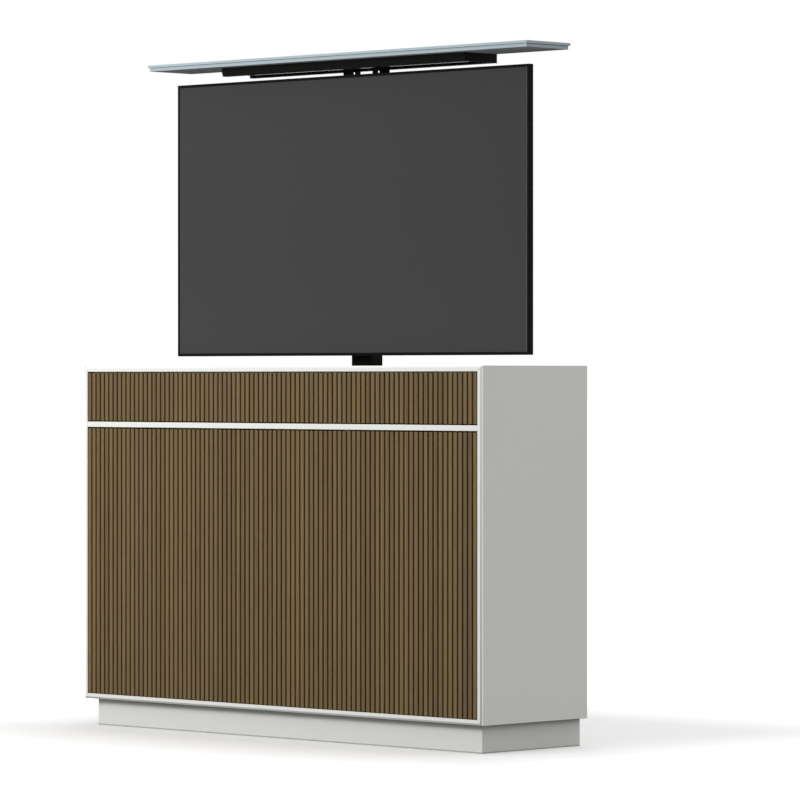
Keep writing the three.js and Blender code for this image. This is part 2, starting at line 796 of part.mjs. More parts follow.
// Television: a frame with a back wall, the screen let into it, and a stepped rear shell
const tvHalf = tvWidth / 2;
const screenHalf = tvHalf - bezel;
const pocket = screenRecess + screenThickness + seat;
const tvFrame = cut(
  block([-tvHalf, tvHalf], [tvFront, tvBack], [tvBottom, tvTop]),
  block([-screenHalf, screenHalf], [tvFront - overrun, tvFront + pocket], [tvBottom + bezel, tvTop - bezel]),
);
add("tv_frame", tvFrame, blackPlastic, carriage);
const screen = block(
  [-screenHalf + seat, screenHalf - seat],
  [tvFront + screenRecess, tvFront + screenRecess + screenThickness],
  [tvBottom + bezel + seat, tvTop - bezel - seat],
);
add("tv_screen", screen, screenGlass, carriage);
const shellY = [tvBack + seat, tvBack + seat + shellSlab];
const shellZ = [tvBottom + shellMargin, tvTop - shellMargin];
const boxZ = [tvBottom + boxRise, tvBottom + boxRise + boxHeight];
const shell = joined(
  frustum(tvHalf - shellMargin, shellZ, shellY, shellSlope),
  frustum(boxWidth / 2, boxZ, [shellY[0] + shellSlab / 2, shellBack], boxSlope),
);
add("tv_rear_shell", shell, blackPlastic, carriage);

// Control box with a recessed mains inlet in its top
const controlY = [backFront - controlFromBack - controlDepth, backFront - controlFromBack];
const controlX = [-innerHalf + controlFromSide, -innerHalf + controlFromSide + controlWidth];
const controlZ = [innerBottom, innerBottom + controlHeight];
const inletX = controlX[1] - inletFromEnd;
const inletY = (controlY[0] + controlY[1]) / 2;
const inlet = block(
  [inletX - inletWidth / 2, inletX + inletWidth / 2],
  [inletY - inletHeight / 2, inletY + inletHeight / 2],
  [controlZ[1] - inletDepth, controlZ[1] + overrun],
);
add("control_box", cut(block(controlX, controlY, controlZ), inlet), blackPlastic);

export default cabinet;
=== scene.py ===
"""Cabinet with a television lift, dressed for rendering around its construction model.

Metres, X to the right, Y to the back, Z up. The origin is on the floor under the cabinet's middle.
Each piece stands where the construction model has it, and rides on that model's bodies.
"""

import json
import math
from functools import cache

import bmesh
import bpy
from bpy.props import FloatProperty, FloatVectorProperty, IntProperty, PointerProperty
from bpy.types import Operator, Panel, PropertyGroup
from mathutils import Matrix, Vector
from mathutils.geometry import convex_hull_2d

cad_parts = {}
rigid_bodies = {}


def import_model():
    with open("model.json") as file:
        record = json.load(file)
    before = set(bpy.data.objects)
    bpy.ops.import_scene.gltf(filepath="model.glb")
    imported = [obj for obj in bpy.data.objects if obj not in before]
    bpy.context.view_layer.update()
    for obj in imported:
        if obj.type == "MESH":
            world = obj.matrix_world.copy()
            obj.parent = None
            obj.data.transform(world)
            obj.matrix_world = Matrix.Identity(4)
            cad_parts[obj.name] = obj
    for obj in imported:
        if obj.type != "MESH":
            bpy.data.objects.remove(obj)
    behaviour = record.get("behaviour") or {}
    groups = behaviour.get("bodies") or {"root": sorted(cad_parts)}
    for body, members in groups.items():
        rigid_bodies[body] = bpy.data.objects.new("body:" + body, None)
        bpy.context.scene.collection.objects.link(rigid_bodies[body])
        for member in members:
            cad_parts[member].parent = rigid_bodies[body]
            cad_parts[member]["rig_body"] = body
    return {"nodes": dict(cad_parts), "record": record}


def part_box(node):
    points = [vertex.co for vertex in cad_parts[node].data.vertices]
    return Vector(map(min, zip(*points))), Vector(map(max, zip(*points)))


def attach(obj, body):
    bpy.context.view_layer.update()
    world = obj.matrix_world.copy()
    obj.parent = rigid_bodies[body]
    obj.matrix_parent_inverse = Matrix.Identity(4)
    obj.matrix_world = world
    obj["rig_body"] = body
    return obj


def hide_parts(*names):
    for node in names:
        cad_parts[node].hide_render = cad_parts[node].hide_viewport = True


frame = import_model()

bl_info = {
    "name": "Television lift cabinet",
    "version": (1, 0, 0),
    "blender": (4, 5, 0),
    "location": "3D View > Sidebar > Cabinet",
    "description": "Builds the finished pieces of a cabinet with a television lift",
    "category": "Add Mesh",
}

MM = 0.001
RIGHT, BACK, FRONT, UP = (1, 0, 0), (0, 1, 0), (0, -1, 0), (0, 0, 1)
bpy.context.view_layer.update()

# Mesh work
WELD = 0.002 * MM
ROUND_SIDES = 32  # sides of a turned solid
EDGE_STEPS, SOFT_EDGE_STEPS = 2, 3  # faces across a rounded edge
FLAT_ANGLE = math.radians(1)
SHARP_ANGLE = math.radians(35)
CREASE_ANGLE = math.radians(50)  # a finished mesh is smooth across smaller angles
SHORTEST_EDGE_SHARE = 3.0  # an edge shorter than this many radii stays sharp

# Places read from the frame
INNER_LOW, INNER_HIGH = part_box("partition_board")
FLAP_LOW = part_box("flap_slats")[0]
CASE_LOW, CASE_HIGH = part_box("top_panel")
PLINTH_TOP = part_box("plinth_front")[1].z
DIVIDER_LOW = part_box("divider_left")[0]
RAIL_LOW, RAIL_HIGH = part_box("stop_rail")
OPENING_LOW = Vector((INNER_LOW.x, DIVIDER_LOW.y, DIVIDER_LOW.z))
OPENING_HIGH = Vector((INNER_HIGH.x, DIVIDER_LOW.y, RAIL_HIGH.z))
LID_LOW, LID_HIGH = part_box("lid_board")
SCREEN_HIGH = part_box("tv_screen")[1]

MATERIAL_SLOTS = {row["node"]: row["material_slot"] for row in frame["record"]["subparts"]}
BACK_PANELS = ("back_panel", "back_access_panel")
DOORS = {"left": 1, "centre": 1, "right": -1}  # each with the way from its hinges to its middle
LEVELS = ("lower", "upper")
SIDES = {"left": -1, "right": 1}

# Where a finish changes
EDGE_MASK = 0.4 * MM
FRONT_RIM = 1.0 * MM  # from the front of the case to the painted shade on the edge of an opening
RIM_BEVEL = 6.2 * MM  # width of the bevel round the front of the case, which carries painted shade and a painted highlight
RIM_ARRIS = 4 * MM  # from the front of the case to the painted highlight along the outer edge of that bevel
LIT_END_SHARE = 0.7  # how much of the painted lightening towards the top the bevel's lit end lacks
PLINTH_LINE = 3.5 * MM  # line of painted shade under the case
PLINTH_SHADE = 17 * MM  # depth of the painted shade that fades down from that line
PLINTH_SHADE_STRENGTH = 0.45  # share of that painted shade right under the line
PLINTH_FOOT = 3.5 * MM  # painted shade line along the floor
LID_LIP = 8 * MM
# Width of the painted highlight along the screen's right edge.
SCREEN_HIGHLIGHT_WIDTH = 2.6 * MM
LOWER_ROW = 211.0  # added to the numbers of the slats under the flap, for tones of their own

# Lift and latches
GEARBOX_DEPTH = 60 * MM
GEAR_RISE = 23.7 * MM  # from the foot of the lifting screw
GEAR_HEIGHT = 14 * MM
PLUNGER_RADIUS = 2.5 * MM

# Radius and height of each kind of screw or bolt head
HEADS = {
    "panel": (3.6 * MM, 1.6 * MM),
    "cap": (3.6 * MM, 1.5 * MM),
    "rear shell": (3.6 * MM, 1.4 * MM),
    "control box": (3 * MM, 1.2 * MM),
    "hinge flange": (3.4 * MM, 0.6 * MM),
    "hinge plate": (4.2 * MM, 1.6 * MM),
    "hinge arm": (3.2 * MM, 0.8 * MM),
    "bolt": (6.5 * MM, 4 * MM),
    "channel bolt": (5 * MM, 3.5 * MM),
}

# Stage
PICTURE_WIDTH = 800
SENSOR_WIDTH = 36.0
FAR_CLIP = 400.0
FLOOR_SIZE = 300.0
FADE_BLEND = 0.2
SHADOW_REACH = 0.8  # the painted shadow on the floor reaches this much further at the back
WHITE = (1.0, 1.0, 1.0, 1.0)


def paint(code):
    """A colour written as six hexadecimal digits, as the linear values that Blender works with."""
    shares = [int(code[i : i + 2], 16) / 255 for i in (0, 2, 4)]
    return tuple(s / 12.92 if s <= 0.04045 else ((s + 0.055) / 1.055) ** 2.4 for s in shares)


def colour(title, code, about):
    """A colour property."""
    return FloatVectorProperty(
        name=title, description=about, default=paint(code), subtype="COLOR", size=3, min=0, max=1
    )


def number(title, default, about, **settings):
    """A property that holds a number."""
    return FloatProperty(name=title, description=about, default=default, min=0, **settings)


def length(title, millimetres, about):
    """A length property whose default is written in millimetres."""
    return number(title, millimetres * MM, about, unit="LENGTH")


def angle(title, degrees, about):
    """An angle property whose default is written in degrees."""
    return number(title, math.radians(degrees), about, subtype="ANGLE")


def fraction(title, default, about):
    """A property that holds a share of 0..1."""
    return number(title, default, about, max=1, subtype="FACTOR")


def count(title, default, about):
    """A property that holds a whole number."""
    return IntProperty(name=title, description=about, default=default, min=1)


def spot(title, default, about):
    """A property that holds a place."""
    return FloatVectorProperty(
        name=title, description=about, default=default, subtype="TRANSLATION"
    )


class CabinetColours(PropertyGroup):
    """Colours of the finishes."""

    white: colour("White", "E9EAE5", "Lacquer of the case")
    # Painted shade: the dark reveal stands for the shade in the gaps round the fronts.
    reveal: colour("Reveal", "50483E", "Stained edge of the openings behind the fronts")
    # Painted shade: the plinth is a darker white than the case for the shade under the case's
    # overhang.
    plinth: colour("Plinth", "E2E3DE", "Lacquer of the plinth")
    # Painted shade: a contact shadow along the foot of the plinth.
    foot: colour("Foot", "B0AFAA", "Line where the plinth stands on the floor")
    # Painted shade: the rim colour stands for the shade on the bevel, mixed towards white higher
    # up.
    rim: colour("Rim", "B4B9BC", "Bevel round the front of the case, at its foot")
    # Painted highlight along the outer edge of the bevel.
    arris_highlight: colour("Arris", "FFFFFF", "Outer edge of that bevel")
    # Painted shade under the case: on its underside, in a line along the top of the plinth, and
    # fading down the plinth.
    underside_shade: colour("Raw board", "5A554E", "Bare underside of the case")
    lid_edge: colour("Lid edge", "ADBBC1", "Edges of the lid")
    # Painted shade in a line under the lip of the lid.
    lid_step_shade: colour("Lid step", "505457", "Line under the lip of the lid")
    # Painted shade: a grey sheet under the lid stands for the shade there.
    lid_under_shade: colour("Lid underside", "B0B4B6", "Backing sheet under the lid")
    walnut: colour("Walnut", "796543", "Face of the slats")
    walnut_dark: colour("Walnut grain", "4C3C22", "Dark lines of the grain")
    walnut_grey: colour("Grey walnut", "736045", "Slats cut from greyer wood")
    # Painted shade: the dark backing stands for the shade deep in the grooves, and fades up the
    # slats' sides.
    backing: colour("Backing", "2E2010", "Layer between the slats")
    veneer: colour("Veneer", "6A583F", "Backs of the fronts")
    black_steel: colour("Black steel", "11110F", "Powder coat of the lift")
    bright_steel: colour("Bright steel", "C8C9CA", "Nickel plate")
    black_plastic: colour("Black plastic", "111111", "Housings")
    rear_plastic: colour("Rear plastic", "232426", "Rear shell of the television")
    grey_plastic: colour("Grey plastic", "6C6E70", "Latches")
    contact: colour("Contacts", "B89A5A", "Gilded contacts of the sockets")
    lens: colour("Lens", "5A1814", "Small lamps that are off")
    screen: colour("Screen", "404040", "Screen while off")
    # Painted highlight along the right edge of the screen.
    screen_edge_highlight: colour("Screen edge", "545454", "Bare glass along the right edge of the screen")


class CabinetSizes(PropertyGroup):
    """Sizes of what the finish adds."""

    board_edge: length("Board edge", 0.6, "Radius along the edges of the lacquered boards")
    veneer_edge: length("Veneer edge", 0.5, "Radius along the edges of the veneered boards")
    steel_edge: length("Steel edge", 0.4, "Radius along the edges of steel parts")
    plastic_edge: length("Plastic edge", 1.0, "Radius along the edges of the television's frame")
    moulded_edge: length("Moulded edge", 4, "Radius along the edges of the television's rear shell")
    slat_count: count("Slats", 85, "Slats across the flap")
    groove: length("Groove", 5.8, "Width between two slats")
    slat_depth: length("Slat depth", 8, "Depth of a slat in front of its backing")
    slat_edge: length("Slat edge", 1.2, "Radius along the front edges of a slat")
    thread_lead: length("Lead", 20, "Rise of the lifting screw in one turn")
    thread_starts: count("Starts", 4, "Threads side by side on the lifting screw")


class CabinetStage(PropertyGroup):
    """Camera and light."""

    camera_place: spot("Camera place", (9.86788, -9.74838, 1.04767), "Where the camera stands")
    camera_yaw: angle("Camera yaw", 44.47813, "Turn towards the left")
    camera_dip: angle("Camera dip", 0.27612, "How far it looks down")
    focal_pixels: number("Focal length", 4740.607, "In a picture 800 pixels wide", subtype="PIXEL")
    sky: number("Sky", 0.765, "Strength of the even light")
    key: number("Key", 142, "Power of the lamp", unit="POWER")
    key_place: spot("Key place", (-1.7, -3.9, 2.4), "Where the lamp hangs, in front on the left")
    key_aim: spot("Key aim", (0.0, -0.2, 1.9), "What the lamp faces")
    key_width: number("Key width", 5.5, "Width of the lamp", unit="LENGTH")
    key_height: number("Key height", 1.2, "Height of the lamp", unit="LENGTH")
    floor_shown: fraction("Floor", 1.0, "Light that the floor shows of what falls on it")
    # Painted shadow: the floor glows less near the cabinet than further off.
    floor_glow_near: fraction("Near glow", 0.16, "Light that the floor adds at the cabinet")
    floor_glow_far: fraction("Far glow", 0.6, "Light that the floor adds further off")
    floor_fade: length("Fade", 950, "Distance from the cabinet at which the glow is full")
    floor_bounce: fraction("Floor bounce", 0.3, "Light that the floor sends back to the cabinet")


class Value:
    """A number in a node tree. Arithmetic on it adds Math nodes."""

    def __init__(self, graph, socket):
        self.graph = graph
        self.socket = socket

    def made(self, operation, *terms):
        """A Math node on these terms."""
        node = self.graph.add("ShaderNodeMath", {"operation": operation}, dict(enumerate(terms)))
        return Value(self.graph, node.outputs[0])

    def math(self, operation, *others):
        """A Math node on this value and then on the others."""
        return self.made(operation, self, *others)

    def __add__(self, other):
        return self.math("ADD", other)

    __radd__ = __add__

    def __sub__(self, other):
        return self.math("SUBTRACT", other)

    def __rsub__(self, other):
        return self.made("SUBTRACT", other, self)

    def __mul__(self, other):
        return self.math("MULTIPLY", other)

    __rmul__ = __mul__

    def __truediv__(self, other):
        return self.math("DIVIDE", other)

    def __rtruediv__(self, other):
        return self.made("DIVIDE", other, self)

    def __lt__(self, other):
        return self.math("LESS_THAN", other)

    def __gt__(self, other):
        return self.math("GREATER_THAN", other)


class Graph:
    """A node tree that is built node by node."""

    def __init__(self, tree):
        self.tree = tree
        tree.nodes.clear()

    def add(self, kind, settings=None, sockets=None):
        """A node of this kind. Its settings are made first, then its sockets are set or linked."""
        node = self.tree.nodes.new(kind)
        for name, value in (settings or {}).items():
            setattr(node, name, value)
        for key, value in (sockets or {}).items():
            for source in value if isinstance(value, list) else [value]:
                if isinstance(source, Value):
                    source = source.socket
                if isinstance(source, bpy.types.NodeSocket):
                    self.tree.links.new(source, node.inputs[key])
                else:
                    node.inputs[key].default_value = source
        return node

    def first(self, kind, settings=None, sockets=None):
        """The first output of a new node."""
        return self.add(kind, settings, sockets).outputs[0]

    def value(self, kind, output, settings=None, sockets=None):
        """One output of a new node, ready for arithmetic."""
        return Value(self, self.add(kind, settings, sockets).outputs[output])

    def parts(self, vector):
        """The three parts of a vector."""
        node = self.add("ShaderNodeSeparateXYZ", {}, {0: vector})
        return [Value(self, output) for output in node.outputs]

    def vector(self, x, y, z):
        """A vector of three parts, of which some vary."""
        return self.first("ShaderNodeCombineXYZ", {}, {0: x, 1: y, 2: z})


class Surface(Graph):
    """A material's node tree, with its noise, masks and mixed colours."""

    def __init__(self, name):
        self.material = bpy.data.materials.new(name)
        self.material.use_nodes = True
        super().__init__(self.material.node_tree)
        self.place = self.add("ShaderNodeTexCoord").outputs["Object"]

    def noise(self, size, detail=2.0, roughness=0.5, distortion=0.0, place=None):
        """Noise whose spots have this size in metres along each axis."""
        spots = {0: self.place if place is None else place, 1: tuple(1 / s for s in size)}
        sockets = {
            "Vector": self.first("ShaderNodeVectorMath", {"operation": "MULTIPLY"}, spots),
            "Scale": 1.0,
            "Detail": detail,
            "Roughness": roughness,
            "Distortion": distortion,
        }
        return self.value("ShaderNodeTexNoise", "Fac", {}, sockets)

    def even_noise(self, size, **settings):
        """Noise with spots as long as they are wide."""
        return self.noise((size, size, size), **settings)

    def chance(self, seed):
        """A random share that is the same wherever the seed is the same."""
        settings = {"noise_dimensions": "1D"}
        return self.value("ShaderNodeTexWhiteNoise", "Value", settings, {"W": seed})

    def span(self, value, low, high):
        """A value brought from low..high to 0..1."""
        sockets = {"Value": value, "From Min": low, "From Max": high}
        return self.value("ShaderNodeMapRange", 0, {"clamp": True}, sockets)

    def swing(self, share, low, high):
        """A share of 0..1 brought to low..high."""
        return low + share * (high - low)

    def between(self, value, low, high):
        """One where a value lies between two others, and zero elsewhere."""
        return (value > low) * (value < high)

    def mix(self, factor, a, b):
        """A colour between two colours."""
        sockets = {0: factor, 6: self.opaque(a), 7: self.opaque(b)}
        return self.add("ShaderNodeMix", {"data_type": "RGBA"}, sockets).outputs[2]

    def opaque(self, tint):
        """A colour as a socket takes it."""
        return tint if isinstance(tint, bpy.types.NodeSocket) else (*tint, 1.0)

    def clouded(self, tint, size, detail, share):
        """A colour with clouds of this size in it, which lose up to this share of its light."""
        return self.mix(self.even_noise(size, detail=detail), darker(tint, share), tint)

    def bump(self, height, depth):
        """A normal that stands as if the surface rose by depth metres over the height's range."""
        sockets = {"Strength": 1.0, "Distance": depth, "Height": height}
        return self.first("ShaderNodeBump", {}, sockets)

    def shade(self, tint, roughness, normal=None, specular=0.5, metallic=0.0):
        """Ends the material."""
        sockets = {
            "Base Color": self.opaque(tint),
            "Roughness": roughness,
            "Specular IOR Level": specular,
            "Metallic": metallic,
        }
        if normal is not None:
            sockets["Normal"] = normal
        shader = self.first("ShaderNodeBsdfPrincipled", {}, sockets)
        self.add("ShaderNodeOutputMaterial", {}, {"Surface": shader})
        return self.material


def darker(tint, share):
    """A colour with this share of its light taken away."""
    return tuple(part * (1 - share) for part in tint)


def neutral(light):
    """A colour without a hue."""
    return (light, light, light)


def coated(s, tint):
    """Ends a material as satin lacquer with a trace of orange peel, over a colour that may vary."""
    peel = s.even_noise(1.8 * MM, detail=1.0)
    handling = s.even_noise(60 * MM, detail=4.0, roughness=0.6)
    return s.shade(tint, s.swing(handling, 0.38, 0.52), s.bump(peel, 0.02 * MM), specular=0.35)


def rim_shade_and_highlight(s, x, y, z, white, colours):
    """White, with a bevel round the front: painted shade at its front, darker towards the foot, and
    a painted highlight along its outer edge.
    """
    ends = x.math("ABSOLUTE") > CASE_HIGH.x - RIM_BEVEL
    outer = ends.math("MAXIMUM", z > CASE_HIGH.z - RIM_BEVEL)
    lit_end = x < CASE_LOW.x + RIM_BEVEL
    risen = s.span(z, PLINTH_TOP, CASE_HIGH.z)
    # Painted shade on the bevel, lighter towards the top.
    rim = s.mix(risen * (1 - LIT_END_SHARE * lit_end), colours.rim, white)
    shaded = s.between(y, CASE_LOW.y + EDGE_MASK, CASE_LOW.y + RIM_ARRIS + RIM_BEVEL * lit_end)
    arris_highlight = s.between(y, CASE_LOW.y + RIM_ARRIS, CASE_LOW.y + RIM_BEVEL + EDGE_MASK)
    # Painted highlight along the bevel's outer edge, left out at the lit end.
    bright = arris_highlight * (1 - lit_end)
    return s.mix(outer * bright, s.mix(outer * shaded, white, rim), colours.arris_highlight)


def case_lacquer(name, colours):
    """White lacquer with painted shade: in the openings behind the fronts, on the underside of the
    case, along the top of the plinth fading down it, over the plinth and along its foot.
    """
    s = Surface(name)
    x, y, z = s.parts(s.place)
    white = s.clouded(colours.white, size=0.4, detail=3.0, share=0.025)
    behind = s.between(y, CASE_LOW.y + FRONT_RIM, OPENING_LOW.y - EDGE_MASK)
    across = s.between(x, OPENING_LOW.x - EDGE_MASK, OPENING_HIGH.x + EDGE_MASK)
    upright = s.between(z, OPENING_LOW.z - EDGE_MASK, OPENING_HIGH.z + EDGE_MASK)
    # Painted shade in the openings behind the fronts.
    with_reveal_shade = s.mix(behind * across * upright, rim_shade_and_highlight(s, x, y, z, white, colours), colours.reveal)
    line = PLINTH_TOP - PLINTH_LINE
    # Painted shade along the foot of the plinth, over the plinth's darker white, which is painted
    # shade too.
    plinth = s.mix(z < PLINTH_FOOT, colours.plinth, colours.foot)
    low = s.mix(z < line, with_reveal_shade, plinth)
    # Painted shade fading down the plinth from under the case.
    fading_shade = s.span(z, PLINTH_TOP - PLINTH_SHADE, line) * PLINTH_SHADE_STRENGTH * (z < line)
    shaded_below = s.mix(fading_shade, low, colours.underside_shade)
    # Painted shade in a line along the top of the plinth and on the underside of the case.
    return coated(s, s.mix(s.between(z, line, PLINTH_TOP + EDGE_MASK), shaded_below, colours.underside_shade))


def lid_lacquer(name, colours):
    """Lid: white on top and bluish along its edges, with a line of painted shade under its lip."""
    s = Surface(name)
    z = s.parts(s.place)[2]
    edge = s.clouded(colours.lid_edge, size=0.4, detail=3.0, share=0.03)
    faced = s.mix(z > LID_HIGH.z - EDGE_MASK, edge, colours.white)
    step = LID_HIGH.z - LID_LIP
    # Painted shade on the step under the lid's lip.
    line = s.between(z, step - EDGE_MASK, step + EDGE_MASK)
    return coated(s, s.mix(line, faced, colours.lid_step_shade))


def felt(name, tint):
    """Dull backing sheet, whose grey is painted shade."""
    s = Surface(name)
    fibre = s.even_noise(0.8 * MM, detail=4.0, roughness=0.7)
    cloud = s.even_noise(150 * MM, detail=2.0)
    face = s.mix(0.5 * fibre + 0.5 * cloud, darker(tint, 0.15), tint)
    return s.shade(face, s.swing(fibre, 0.9, 0.98), s.bump(fibre, 0.1 * MM), specular=0.0)


def unlit_lens(name, tint):
    """Small lens of a lamp that is off."""
    s = Surface(name)
    cloud = s.even_noise(1.0 * MM, detail=1.0)
    return s.shade(s.mix(cloud, darker(tint, 0.2), tint), s.swing(cloud, 0.2, 0.3))


def gilded(name, tint):
    """Gilded contacts."""
    s = Surface(name)
    cloud = s.even_noise(2.0 * MM, detail=2.0)
    return s.shade(s.mix(cloud, darker(tint, 0.15), tint), s.swing(cloud, 0.25, 0.4), metallic=1.0)


def walnut_slats(name, colours, sizes):
    """Oiled walnut in slats, each with its own tone and its own grain along its length, with
    painted shade darkening their sides towards the backing.
    """
    s = Surface(name)
    x, y, z = s.parts(s.place)
    slat = ((x - INNER_LOW.x) / slat_pitch(sizes)).math("FLOOR") + (z < FLAP_LOW.z) * LOWER_ROW
    line_share, tone_share, flame_share, grey_share, groove_shade_start = 0.5, 0.3, 0.25, 0.6, 0.45
    board_width, board_height = 3.0, 5.0
    tone, grey = s.chance(slat), s.chance(slat + 0.5)
    cut_from = s.vector(x + tone * board_width, y, z + grey * board_height)
    grain = s.noise((1.6 * MM, 1.6 * MM, 90 * MM), detail=4.0, roughness=0.65, place=cut_from)
    flame = s.noise((7 * MM, 7 * MM, 260 * MM), detail=2.0, distortion=0.6, place=cut_from)
    pores = s.noise((0.5 * MM, 0.5 * MM, 9 * MM), detail=2.0, place=cut_from)
    greyer = s.span(flame + grey_share * (grey - 0.5), 0.35, 0.85)
    wood = s.mix(greyer, colours.walnut, colours.walnut_grey)
    dark = s.span(grain, 0.45, 0.72) * line_share + s.span(tone, 0.4, 1.0) * tone_share
    lined = s.mix(dark + s.span(flame, 0.45, 0.8) * flame_share, wood, colours.walnut_dark)
    # Painted shade in the grooves, from part way back on the slats' sides to the backing.
    groove_shade_fade = s.span(y, FLAP_LOW.y + groove_shade_start * sizes.slat_depth, FLAP_LOW.y + sizes.slat_depth)
    face = s.mix(groove_shade_fade, lined, colours.backing)
    normal = s.bump(pores * 0.6 + grain * 0.4, 0.12 * MM)
    return s.shade(face, s.swing(pores, 0.52, 0.68), normal, specular=0.25)


def walnut_board(name, colours):
    """Matt walnut veneer, its leaves run upright."""
    s = Surface(name)
    warp = s.noise((60 * MM, 60 * MM, 700 * MM), detail=2.0, distortion=1.2)
    grain = s.noise((2.2 * MM, 2.2 * MM, 160 * MM), detail=4.0, roughness=0.6)
    pores = s.noise((0.6 * MM, 0.6 * MM, 11 * MM), detail=2.0)
    leaves, line_share = 9.0, 0.6
    rings = (warp * leaves).math("PINGPONG", 1.0)
    wood = s.mix(s.span(rings, 0.1, 1.0), colours.veneer, colours.walnut_grey)
    face = s.mix(s.span(grain, 0.45, 0.75) * line_share, wood, colours.walnut_dark)
    return s.shade(face, s.swing(pores, 0.58, 0.72), s.bump(pores, 0.08 * MM), specular=0.25)


def powder_coat(name, tint):
    """Fine-textured powder coat."""
    s = Surface(name)
    grit = s.even_noise(0.7 * MM, detail=3.0, roughness=0.6)
    face = s.clouded(tint, size=0.12, detail=2.0, share=0.12)
    return s.shade(face, s.swing(grit, 0.5, 0.66), s.bump(grit, 0.05 * MM), specular=0.05)


def nickel(name, tint):
    """Nickel-plated steel with fine drawn lines."""
    s = Surface(name)
    drawn = s.noise((0.4 * MM, 0.4 * MM, 14 * MM), detail=2.0)
    face = s.clouded(tint, size=0.02, detail=3.0, share=0.14)
    return s.shade(face, s.swing(drawn, 0.2, 0.38), s.bump(drawn, 0.01 * MM), metallic=1.0)


def moulded(name, tint, specular):
    """Moulded plastic with an even fine texture."""
    s = Surface(name)
    grain = s.even_noise(0.5 * MM, detail=2.0)
    face = s.clouded(tint, size=0.05, detail=2.0, share=0.1)
    return s.shade(face, s.swing(grain, 0.42, 0.62), s.bump(grain, 0.03 * MM), specular=specular)


def anti_glare(name, colours):
    """Anti-glare screen: even and very finely etched, with a painted highlight in a narrow strip
    along its right edge.
    """
    s = Surface(name)
    etch = s.even_noise(0.25 * MM, detail=1.0)
    even = s.clouded(colours.screen, size=0.5, detail=1.0, share=0.03)
    face = s.mix(s.parts(s.place)[0] > SCREEN_HIGH.x - SCREEN_HIGHLIGHT_WIDTH, even, colours.screen_edge_highlight)
    return s.shade(face, s.swing(etch, 0.34, 0.42), s.bump(etch, 0.004 * MM), specular=0.05)


def finish(kind):
    """The material of a finish, made when it is first asked for."""
    name = kind.replace("_", " ") + " finish"
    if name in bpy.data.materials:
        return bpy.data.materials[name]
    colours = bpy.context.scene.cabinet_colours
    makers = {
        "white_board": (case_lacquer, colours),
        "lid_board": (lid_lacquer, colours),
        "walnut_slats": (walnut_slats, colours, bpy.context.scene.cabinet_sizes),
        "walnut_board": (walnut_board, colours),
        "black_steel": (powder_coat, colours.black_steel),
        "bright_steel": (nickel, colours.bright_steel),
        "black_plastic": (moulded, colours.black_plastic, 0.04),
        "grey_plastic": (moulded, colours.grey_plastic, 0.4),
        "rear_plastic": (moulded, colours.rear_plastic, 0.4),
        "screen": (anti_glare, colours),
        "lid_backing": (felt, colours.lid_under_shade),
        "contact": (gilded, colours.contact),
        "lens": (unlit_lens, colours.lens),
    }
    make, *settings = makers[kind]
    return make(name, *settings)


def slat_pitch(sizes):
    """The step from one slat to the next."""
    return (INNER_HIGH.x - INNER_LOW.x) / sizes.slat_count


def shell(node):
    """A copy of a construction node's mesh, in which each flat area is one face."""
    made = bmesh.new()
    made.from_mesh(frame["nodes"][node].data)
    bmesh.ops.remove_doubles(made, verts=made.verts, dist=WELD)
    bmesh.ops.dissolve_limit(made, angle_limit=FLAT_ANGLE, verts=made.verts, edges=made.edges)
    return made


def placed(name, mesh):
    """A new object in the scene."""
    made = bpy.data.objects.new(name, mesh)
    bpy.context.scene.collection.objects.link(made)
    return made


def settle(made):
    """Turns what an object's modifiers make into its own plain mesh."""
    view = bpy.context.evaluated_depsgraph_get()
    mesh = bpy.data.meshes.new_from_object(made.evaluated_get(view))
    made.modifiers.clear()
    made.data = mesh
    return made


def block(low, high):
    """A box between two corners."""
    made = bmesh.new()
    bmesh.ops.create_cube(made, size=1)
    for vert in made.verts:
        vert.co = Vector(high[i] if vert.co[i] > 0 else low[i] for i in range(3))
    return made


def turned(profile, start, axis, sides=ROUND_SIDES, closed=False):
    """A solid of revolution. Its profile gives steps from the start, each with a radius."""
    made = bmesh.new()
    along = Vector(axis)
    side = along.orthogonal().normalized()
    across = along.cross(side)
    loops = []
    for step, radius in profile:
        middle = Vector(start) + along * step
        turns = [math.tau * i / sides for i in range(sides if radius else 1)]
        spokes = [side * math.cos(t) + across * math.sin(t) for t in turns]
        loops.append([made.verts.new(middle + spoke * radius) for spoke in spokes])
    for loop, after in zip(loops, loops[1:] + loops[:1] if closed else loops[1:]):
        for i in range(sides):
            corners = [loop[i % len(loop)], loop[(i + 1) % len(loop)]]
            corners += [after[(i + 1) % len(after)], after[i % len(after)]]
            made.faces.new(dict.fromkeys(corners))
    bmesh.ops.recalc_face_normals(made, faces=made.faces)
    return made


def rod(radius, low, high):
    """The profile of a plain rod."""
    return [(low, 0), (low, radius), (high, radius), (high, 0)]


def ring(inner, outer, height, start, axis, sides=ROUND_SIDES):
    """A flat ring that stands on its start."""
    profile = [(0, inner), (0, outer), (height, outer), (height, inner)]
    return turned(profile, start, axis, sides, closed=True)


def pushed(outline, axis, low, high):
    """An outline pushed along an axis. Its points give the two other coordinates in their order."""
    made = bmesh.new()

    def layer(place):
        points = [[*point[:axis], place, *point[axis:]] for point in outline]
        return [made.verts.new(point) for point in points]

    ends = layer(low), layer(high)
    for i in range(len(outline)):
        made.faces.new((ends[0][i - 1], ends[0][i], ends[1][i], ends[1][i - 1]))
    for end in ends:
        made.faces.new(end)
    bmesh.ops.recalc_face_normals(made, faces=made.faces)
    return made


def together(*parts):
    """One bmesh that holds several closed shapes."""
    made = bmesh.new()
    for part in parts:
        mesh = bpy.data.meshes.new("part")
        part.to_mesh(mesh)
        part.free()
        made.from_mesh(mesh)
        bpy.data.meshes.remove(mesh)
    return made


